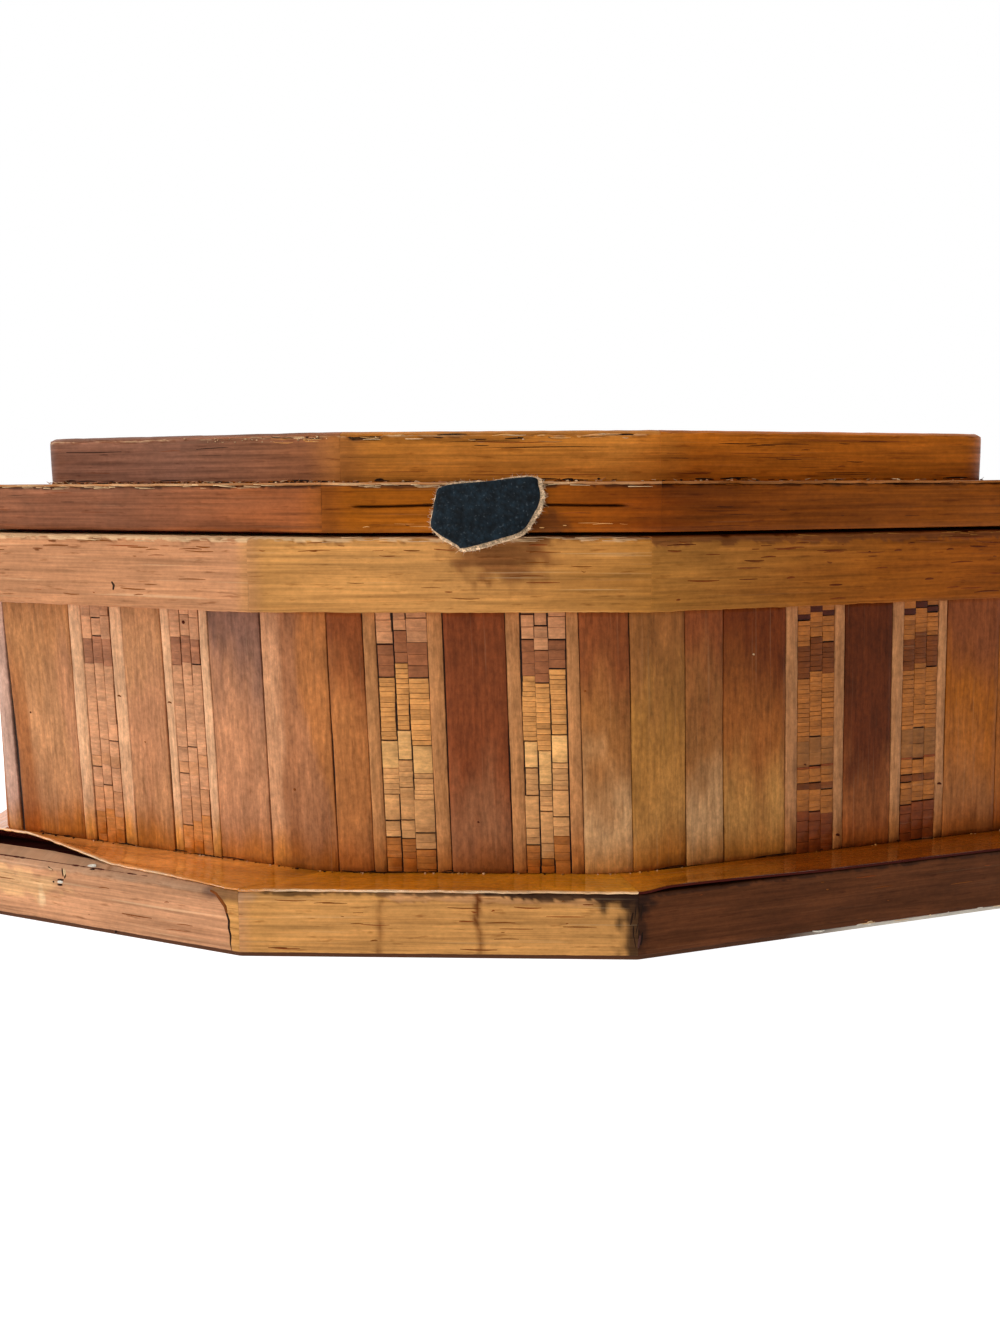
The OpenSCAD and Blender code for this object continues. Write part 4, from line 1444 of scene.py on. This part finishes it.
# Nicks in the walls: side, millimetres past its corner, share of the height, length, radius and tone.
WALL_NICKS = (
    (FRONT_LEFT, 27.6, 0.62, 0.7, 0.15, "tile_brown"), (FRONT_LEFT, 32.4, 0.44, 0.3, 0.2, "tile_brown"),
    (FRONT_LEFT, 42.0, 0.93, 0.4, 0.32, "notch"), (FRONT_LEFT, 38.1, 0.61, 0.8, 0.13, "tile_brown"),
    (FRONT_LEFT, 61.7, 0.31, 0.3, 0.22, "tile_brown"), (FRONT_LEFT, 7.5, 0.52, 0.3, 0.16, "notch"),
    (FRONT_RIGHT, 23.6, 0.81, 0.3, 0.15, "fray"), (FRONT_RIGHT, 39.9, 0.06, 0.7, 0.22, "notch"),
    (FRONT_RIGHT, 60.5, 0.23, 0.9, 0.2, "notch"), (FRONT, 41.5, 0.7, 0.3, 0.14, "tile_brown"),
    (FRONT, 24.0, 0.2, 0.3, 0.16, "notch"), (FRONT_RIGHT, 33.4, 0.36, 0.4, 0.14, "notch"),
)


def wall_nicks():
    batch = Batch(660)
    for side, past, share, length, radius, name in WALL_NICKS:
        z = PLINTH_Z + share * (RAIL_Z - PLINTH_Z)
        s = WALL.start[side] + past + LEAN * (PANEL_MID - z)
        path = [(s + length * (t - 0.5), z + 0.1 * math.sin(4 * t)) for t in np.linspace(0, 1, 5)]
        scratch(batch, WALL, path, radius, name, STRAW_T + 0.04)
    batch.build("wall_nicks", loose_fibre, "box", "straw")


def bare_edge(batch, side, lift):
    """The unvarnished edge of a ledge veneer."""
    s0, s1 = PLINTH.span(side)

    def place(a, h, b):
        return *PLINTH.at(s0 + (s1 - s0) * b, h), a + lift(1.0, b)

    sunk, proud = 0.02, 0.03
    low, high = LEDGE_Z + sunk, PLINTH_Z - sunk
    loop = [(low, -sunk), (low, proud), (high, proud), (high, -sunk)]
    batch.skin(loop, TREAD_STEPS, place, flat(tone("maroon")))


# Grit on the left plinth: where it begins and ends (along it and below the ledge), radius, tone and height.
GRIT_AT = 25.2
GRIT = (
    (1.0, 0.5, 1.1, 1.7, 0.3, "fray", 0.0), (0.6, 0.5, 0.7, 1.9, 0.16, "glue", 0.02),
    (1.3, 1.5, 1.0, 2.2, 0.15, "glue", 0.02), (-0.5, 3.0, 0.6, 2.9, 0.26, "card", 0.03),
    (-0.5, 2.6, 0.8, 2.5, 0.2, "soot", 0.0), (-0.6, 3.5, 0.5, 3.4, 0.22, "soot", 0.0),
    (-1.6, 3.1, -1.2, 3.1, 0.2, "glue", 0.0), (-2.4, 0.6, -1.4, 1.1, 0.16, "glue", 0.0),
    (-2.2, 0.9, -1.6, 1.0, 0.16, "fray", 0.03), (5.0, 0.1, 6.8, -0.4, 0.36, "card", -1.1),
    (5.6, 0.4, 6.9, 0.1, 0.2, "glue", -0.6), (11.0, 10.0, 11.3, 10.1, 0.3, "soot", 0.0),
)
# Crumbs along the foot of each wall.
FOOT_CRUMBS = (
    (FRONT_LEFT, 36), (FRONT, 24), (FRONT_RIGHT, 16), (RIGHT_END, 10),
    (LEFT_END, 14), (BACK_RIGHT, 12), (BACK, 10), (BACK_LEFT, 12),
)


def ledge_crumbs():
    """Dried glue and dark dashes at the foot of the walls, the dashes partly painted shade in the gap there;
    grit on the left plinth; bare edges at the right.
    """
    batch = Batch(810)
    rng = batch.rng
    foot = PLINTH_Z + 0.05
    for side, count in FOOT_CRUMBS:
        for _ in range(count):
            x, y = WALL.at(rng.uniform(*WALL.span(side)), STRAW_T + rng.uniform(0.05, 0.3))
            name = rng.choice(("pale_string", "honey", "stain", "soot"))
            crumb(batch, x, y, foot, rng.uniform(0.08, 0.24), name)
        # Dark dashes at the walls' foot: partly painted shade in the gap between wall and ledge.
        dashes(batch, WALL, side, foot, PLINTH_Z + 0.35, count // 2, 6, 0.13, ("soot", "glue"), STRAW_T)
    grit_s = PLINTH.start[FRONT_LEFT] + GRIT_AT
    for s0, z0, s1, z1, radius, name, out in GRIT:
        path = [(grit_s + s0 + (s1 - s0) * t, LEDGE_Z - z0 - (z1 - z0) * t) for t in np.linspace(0, 1, 5)]
        scratch(batch, PLINTH, path, radius, name, out)
    bare_edge(batch, FRONT_RIGHT, right_lift)
    bare_edge(batch, RIGHT_END, lambda a, b: 0 * b)
    batch.build("ledge_crumbs", loose_fibre, "box", "straw")


def rim_splinters(ring, z, body, name, seed, dim):
    """Splinters along the worn top edge of the rail or the lid, in a dim tone at the right."""
    batch = Batch(seed)
    rng = batch.rng
    for side, count in ((FRONT_LEFT, 40), (FRONT, 40), (FRONT_RIGHT, 24), (RIGHT_END, 14), (LEFT_END, 14)):
        tone_name = dim if side in RIGHT_SIDES else "fray"
        for _ in range(count):
            s = rng.uniform(ring.start[side] + 2, ring.start[side + 1] - 5)
            x, y = ring.at(s, rng.uniform(-0.12, 0.02))
            x1, y1 = ring.at(s + 1, rng.uniform(-0.06, 0.06))
            heading = np.array((x1 - x, y1 - y, rng.uniform(-0.06, 0.02)))
            start = (x, y, z - rng.uniform(0.1, 0.8))
            fibre(batch, start, heading, rng.uniform(0.8, 3.6), rng.uniform(0.05, 0.09), tone_name, 0.03)
    batch.build(name, loose_fibre, body, "straw")


step_fuzz()
top_nicks()
wall_nicks()
ledge_crumbs()
rim_splinters(RAIL, RIM_Z, "box", "rail_splinters", 820, "rail_dim")
rim_splinters(LID, STEP_Z, "lid", "lid_splinters", 830, "lid_russet")


# Pull tab

TAB_OUTLINE = (
    (-6.5, 3.8), (0.0, 4.5), (6.7, 5.1), (7.7, 3.8), (7.9, 1.7), (6.9, -0.5), (5.2, -2.8), (1.4, -4.1),
    (-3.4, -5.3), (-4.4, -4.8), (-7.7, -2.8), (-8.3, -1.7), (-8.0, 0.0), (-7.6, 2.0),
)
# Edges of the tab's two layers and of the pads, from behind to the face: scale and height.
LEATHER_EDGE = (
    (0.3, 0.55), (0.97, 0.55), (1.0, 0.62), (1.0, 0.85), (0.985, 0.98), (0.95, 1.04), (0.8, 1.07),
    (0.5, 1.09), (0.2, 1.1),
)
SUEDE_EDGE = (
    (0.3, 0.03), (0.97, 0.03), (1.0, 0.12), (1.0, 0.45), (0.985, 0.54), (0.9, 0.56), (0.3, 0.56),
)
PAD_EDGE = (
    (0.0, 0.0), (0.9, 0.0), (1.0, 0.04), (1.0, 0.5), (0.995, 0.78), (0.985, 0.92), (0.96, 0.98),
    (0.8, 1.0), (0.4, 1.0), (0.05, 1.0),
)
# Direction in which the suede backing shows most, and the loose hairs at each place of its edge.
SUEDE_TOWARD = (0.75, -0.66)
SUEDE_HAIRS = 3


def smooth_outline(points, per_leg=6):
    """Closed curve through a few points."""
    p = np.array(points)
    rows = []
    for k in range(len(p)):
        a, b, c, d = p[k - 1], p[k], p[(k + 1) % len(p)], p[(k + 2) % len(p)]
        for t in np.arange(per_leg) / per_leg:
            bend = (2 * a - 5 * b + 4 * c - d) * t**2 + (3 * b - a - 3 * c + d) * t**3
            rows.append(b + 0.5 * ((c - a) * t + bend))
    return np.array(rows)


def lens(batch, outline, profile, place, colour, seed):
    """A plump sheet: its outline scaled and raised through a profile of (scale, height)."""
    centre = outline.mean(0)
    steps = np.arange(len(profile))
    scales, heights = np.array(profile).T

    def spot(a, h, b):
        scale = np.interp(b, steps, scales)
        height = np.interp(b, steps, heights)
        return place(centre[0] + (a - centre[0]) * scale, centre[1] + (h - centre[1]) * scale, height)

    def tint(a, h, b):
        return colour * (1 + 0.15 * wobble(a * 0.9, h * 0.9 + b, seed))[..., None]

    batch.skin(outline, steps, spot, tint)


def pull_tab():
    middle = ((TAB_LOW[0] + TAB_HIGH[0]) / 2, (TAB_LOW[2] + TAB_HIGH[2]) / 2)
    outline = smooth_outline(TAB_OUTLINE)
    heading = np.roll(outline, -1, 0) - np.roll(outline, 1, 0)
    normal = np.stack([heading[:, 1], -heading[:, 0]], -1) / np.hypot(*heading.T)[:, None]
    if (normal * (outline - outline.mean(0))).sum() < 0:
        normal = -normal
    index = np.arange(len(outline))
    toward = ease(normal @ np.array(SUEDE_TOWARD), -0.3, 0.9)
    rim = 0.15 + 0.55 * toward + 0.16 * sway(index * 0.45, 5) + 0.1 * sway(index * 1.3, 6)
    backing = outline + normal * rim[:, None]

    def place(x, z, out):
        curl = 1.1 * ease(-z, 0.5, 5.5)
        return middle[0] + x, TAB_HIGH[1] - out - curl, middle[1] + z

    leather, suede = Batch(840), Batch(850)
    lens(leather, outline, LEATHER_EDGE, place, tone("leather"), 3)
    lens(suede, backing, SUEDE_EDGE, place, tone("suede"), 4)
    rng = suede.rng
    for edge, n in zip(backing, normal):
        for _ in range(SUEDE_HAIRS):
            at = edge - n * 0.15
            root = place(at[0], at[1], rng.uniform(0.1, 0.5))
            along = n + rng.uniform(-0.9, 0.9) * np.array((-n[1], n[0]))
            lean = (along[0], rng.uniform(-0.4, 0.3), along[1])
            fibre(suede, root, lean, rng.uniform(0.25, 0.6), 0.045, "suede", 0.5)
    leather.build("tab_leather", tab_leather, "lid", "leather", ["pull_tab"])
    suede.build("tab_suede", tab_suede, "lid", "leather")


pull_tab()


# Lining

INNER_ROUND = 0.8
FLOOR_CLEAR = 0.2
LID_CLEAR = 1.2
PAD_POINTS = 240


def inside_wall(inset):
    """Ring that lies inside the walls' outer faces by inset."""
    return ring_of(layer_nodes("wall"), WALL_ROUND - inset, INNER_ROUND, inset)


def lining_pad(name, node, inset, body, fixed, face):
    """A velvet pad from its fixed side to its face, plump over its whole width."""
    batch = Batch(860)
    ring = inside_wall(inset)
    s = np.linspace(0, ring.total, PAD_POINTS, endpoint=False)
    outline = np.stack(ring.at(s, 0 * s), -1)

    def place(x, y, out):
        return x, y, fixed + (face - fixed) * out

    lens(batch, outline, PAD_EDGE, place, tone("velvet"), 7)
    obj = batch.build(name, velvet_cloth, body, "lining", [node])


def mitre_gap(corner):
    """Room that a lining panel leaves at the corner after a side."""
    return 0.47 * LINING_T if corner % 4 in (1, 2) else 0.1 * LINING_T


def wall_panel(batch, ring, side, low, high):
    """Velvet panel inside one wall, its top edge rolled over."""
    s0, s1 = ring.start[side] + mitre_gap(side - 1), ring.start[side + 1] - mitre_gap(side)

    def place(a, h, b):
        near = np.minimum(b - s0, s1 - b)
        puff = (0.75 + 0.25 * ease(near, 0, 1.2)) * (0.9 + 0.1 * wobble(a * 0.15, b * 0.12, side))
        return *ring.at(b, -h * puff), a

    def tint(a, h, b):
        return tone("velvet") * (1 + 0.2 * wobble(a * 0.12, b * 0.1, side))[..., None]

    face = [(low, 0), (low, 1)] + [(z, 1) for z in np.linspace(low + 2, high - 1.2, 8)]
    roll = [(high - 0.4, 0.9), (high - 0.1, 0.65), (high, 0.3), (high, 0)]
    batch.skin([(z, LINING_T * t) for z, t in face + roll], spaced(s0, s1, 2.0), place, tint)


def wall_panels():
    batch = Batch(870)
    ring = inside_wall(WALL_T)
    for side in range(8):
        wall_panel(batch, ring, side, *node_heights("wall_lining"))
    batch.build("lining_panels", velvet_cloth, "box", "lining", ["wall_lining"])


floor_low, floor_high = node_heights("floor_lining")
lid_low, lid_high = node_heights("lid_lining")
lining_pad("floor_pad", "floor_lining", WALL_T + LINING_T + FLOOR_CLEAR, "box", floor_low, floor_high)
lining_pad("lid_pad", "lid_lining", WALL_T + LINING_T + LID_CLEAR, "lid", lid_high, lid_low)
wall_panels()


# CAD nodes that show as they are


BEVEL_ANGLE = 40


def dress(node, material, bevel=0.0):
    """A CAD node's material, and its worn edges in millimetres."""
    obj = frame["nodes"][node]
    obj.data.materials.clear()
    obj.data.materials.append(material)
    if bevel:
        rounding = obj.modifiers.new("worn_edges", "BEVEL")
        rounding.width = bevel * MM
        rounding.segments = 2
        rounding.limit_method = "ANGLE"
        rounding.angle_limit = math.radians(BEVEL_ANGLE)


def outer_glue(name, angle):
    """Plain board whose outer faces carry dark glue under the straw."""
    material, tree, shader = new_material(name)
    grey = noise_node(tree, object_grain(tree, angle), (0.6, 0.1, 1), 4, 0.6)
    board = ramped(tree, grey, tone("board") * 0.6, tone("board"))
    geometry = add(tree, "NewGeometry")
    level = add(tree, "VectorMath", {0: geometry["Position"], 1: (1, 1, 0)}, operation="MULTIPLY")["Vector"]
    facing = add(tree, "VectorMath", {0: level, 1: geometry["Normal"]}, operation="DOT_PRODUCT")["Value"]
    outward = remap(tree, facing, 0.001, 0.002, 0.0, 1.0)
    fill(tree, shader, {"Base Color": washed(tree, board, outward, tone("glue"), "MIX"), "Roughness": 0.8})
    return material


# The card's edge is torn from here on, in millimetres from the middle.
TORN_FROM, TORN_WHOLLY = 45, 60


def shaded_card():
    """Pale card whose side faces carry painted shade where the box meets the floor, except at the right
    where the edge is torn.
    """
    material, tree, shader = mottled_material("pale_card", tone("card") * 0.8, tone("card"), 0.25, 0.9, 0.05)
    pale = shader["Base Color"].links[0].from_socket
    facing = add(tree, "SeparateXYZ", {0: add(tree, "NewGeometry")["Normal"]})["Z"]
    across = add(tree, "SeparateXYZ", {0: object_place(tree)})["X"]
    edge = remap(tree, facing, -0.7, -0.3, 0.0, 1.0)
    whole = remap(tree, across, TORN_FROM * MM, TORN_WHOLLY * MM, 1.0, 0.0)
    # Painted shade on the card's side faces where the box meets the floor, fading out where the edge is
    # torn.
    stain = math_node(tree, "MULTIPLY", edge, whole)
    fill(tree, shader, {"Base Color": washed(tree, pale, stain, tone("stain") * 0.4, "MIX")})
    return material


board_wood = node_straw("board_wood", "board", 90, 0.7)
glued_board = outer_glue("glued_board", 90)
dress("base_board", node_straw("stained_wood", "maroon", 90, 0.8))
for node in ("lid_board", "top_board"):
    dress(node, board_wood)
for here in SIDES:
    dress(f"wall_{here}", glued_board)
for side in BACK_SIDES:
    dress(f"rail_{SIDES[side]}", node_straw(f"rail_grain_{SIDES[side]}", "rail_front", FACING[side]), 0.2)
    dress(f"lid_edge_{SIDES[side]}", node_straw(f"lid_grain_{SIDES[side]}", "lid_gold", FACING[side]), 0.15)
dress("underside_card", shaded_card())
brass, _, brass_shader = mottled_material("aged_brass", tone("brass") * 0.45, tone("brass"), 0.8, 0.38, 0.03)
brass_shader["Metallic"].default_value = 1.0
for node in ("hinge_body_leaves", "hinge_pins", "body_nails", "hinge_lid_leaves", "lid_nails"):
    dress(node, brass, 0.08)


# Stage, light and camera


FLOOR_SIZE = 6
FLOOR_AT = (0, 1.2, 0)
PAPER_GREY = (0.5, 0.5, 0.5, 1)
WHITE = (1, 1, 1, 1)
CLIP_START = 0.005


def stage():
    """A pale paper floor."""
    bpy.ops.mesh.primitive_plane_add(size=FLOOR_SIZE, location=FLOOR_AT)
    floor = bpy.context.object
    floor.name = "floor"
    paper, tree, shader = new_material("floor_paper")
    glow = {"Emission Color": WHITE, "Emission Strength": 0.85}
    fill(tree, shader, {"Base Color": PAPER_GREY, "Roughness": 0.8, **glow})
    floor.data.materials.append(paper)


def area_light(name, at, aim, size, power):
    data = bpy.data.lights.new(name, "AREA")
    data.shape = "RECTANGLE"
    data.size, data.size_y = size, size
    data.energy = power
    obj = bpy.data.objects.new(name, data)
    obj.location = at
    obj.rotation_euler = (Vector(aim) - Vector(at)).to_track_quat("-Z", "Y").to_euler()
    bpy.context.collection.objects.link(obj)


def world():
    """A white backdrop that lights the box from behind, and less from in front and from the right."""
    scene_world = bpy.data.worlds.new("studio")
    bpy.context.scene.world = scene_world
    scene_world.use_nodes = True
    tree = scene_world.node_tree
    split = add(tree, "SeparateXYZ", {0: add(tree, "TexCoord")["Generated"]})
    behind = remap(tree, split["Y"], 0.0, 0.3, 0.0, 1.0)
    leftness = remap(tree, split["X"], 0.5, -0.9, 0.03, 0.2)
    glow = math_node(tree, "MAXIMUM", behind, leftness)
    strength = math_node(tree, "MAXIMUM", glow, add(tree, "LightPath")["Is Camera Ray"])
    fill(tree, tree.nodes["Background"].inputs, {"Color": WHITE, "Strength": strength})


def camera():
    data = bpy.data.cameras.new("photo_camera")
    data.sensor_width = SENSOR
    data.lens = SENSOR * FOCAL_PX / PHOTO_H
    data.clip_start = CLIP_START
    obj = bpy.data.objects.new("photo_camera", data)
    obj.location = Vector(CAMERA_AT) * MM
    yaw, pitch = math.radians(CAMERA_YAW), math.radians(CAMERA_PITCH)
    forward = Vector((math.sin(yaw) * math.cos(pitch), math.cos(yaw) * math.cos(pitch), -math.sin(pitch)))
    roll = Quaternion((0, 0, 1), math.radians(CAMERA_ROLL))
    obj.rotation_euler = (forward.to_track_quat("-Z", "Y") @ roll).to_euler()
    bpy.context.collection.objects.link(obj)
    bpy.context.scene.camera = obj


bpy.context.scene.view_settings.view_transform = "Standard"
stage()
area_light("key", (-0.55, -0.38, 0.25), (0, -0.03, 0.04), 0.4, 2.0)
area_light("overhead", (-0.15, -0.32, 0.62), (0, -0.03, 0.05), 0.2, 1.65)
world()
camera()
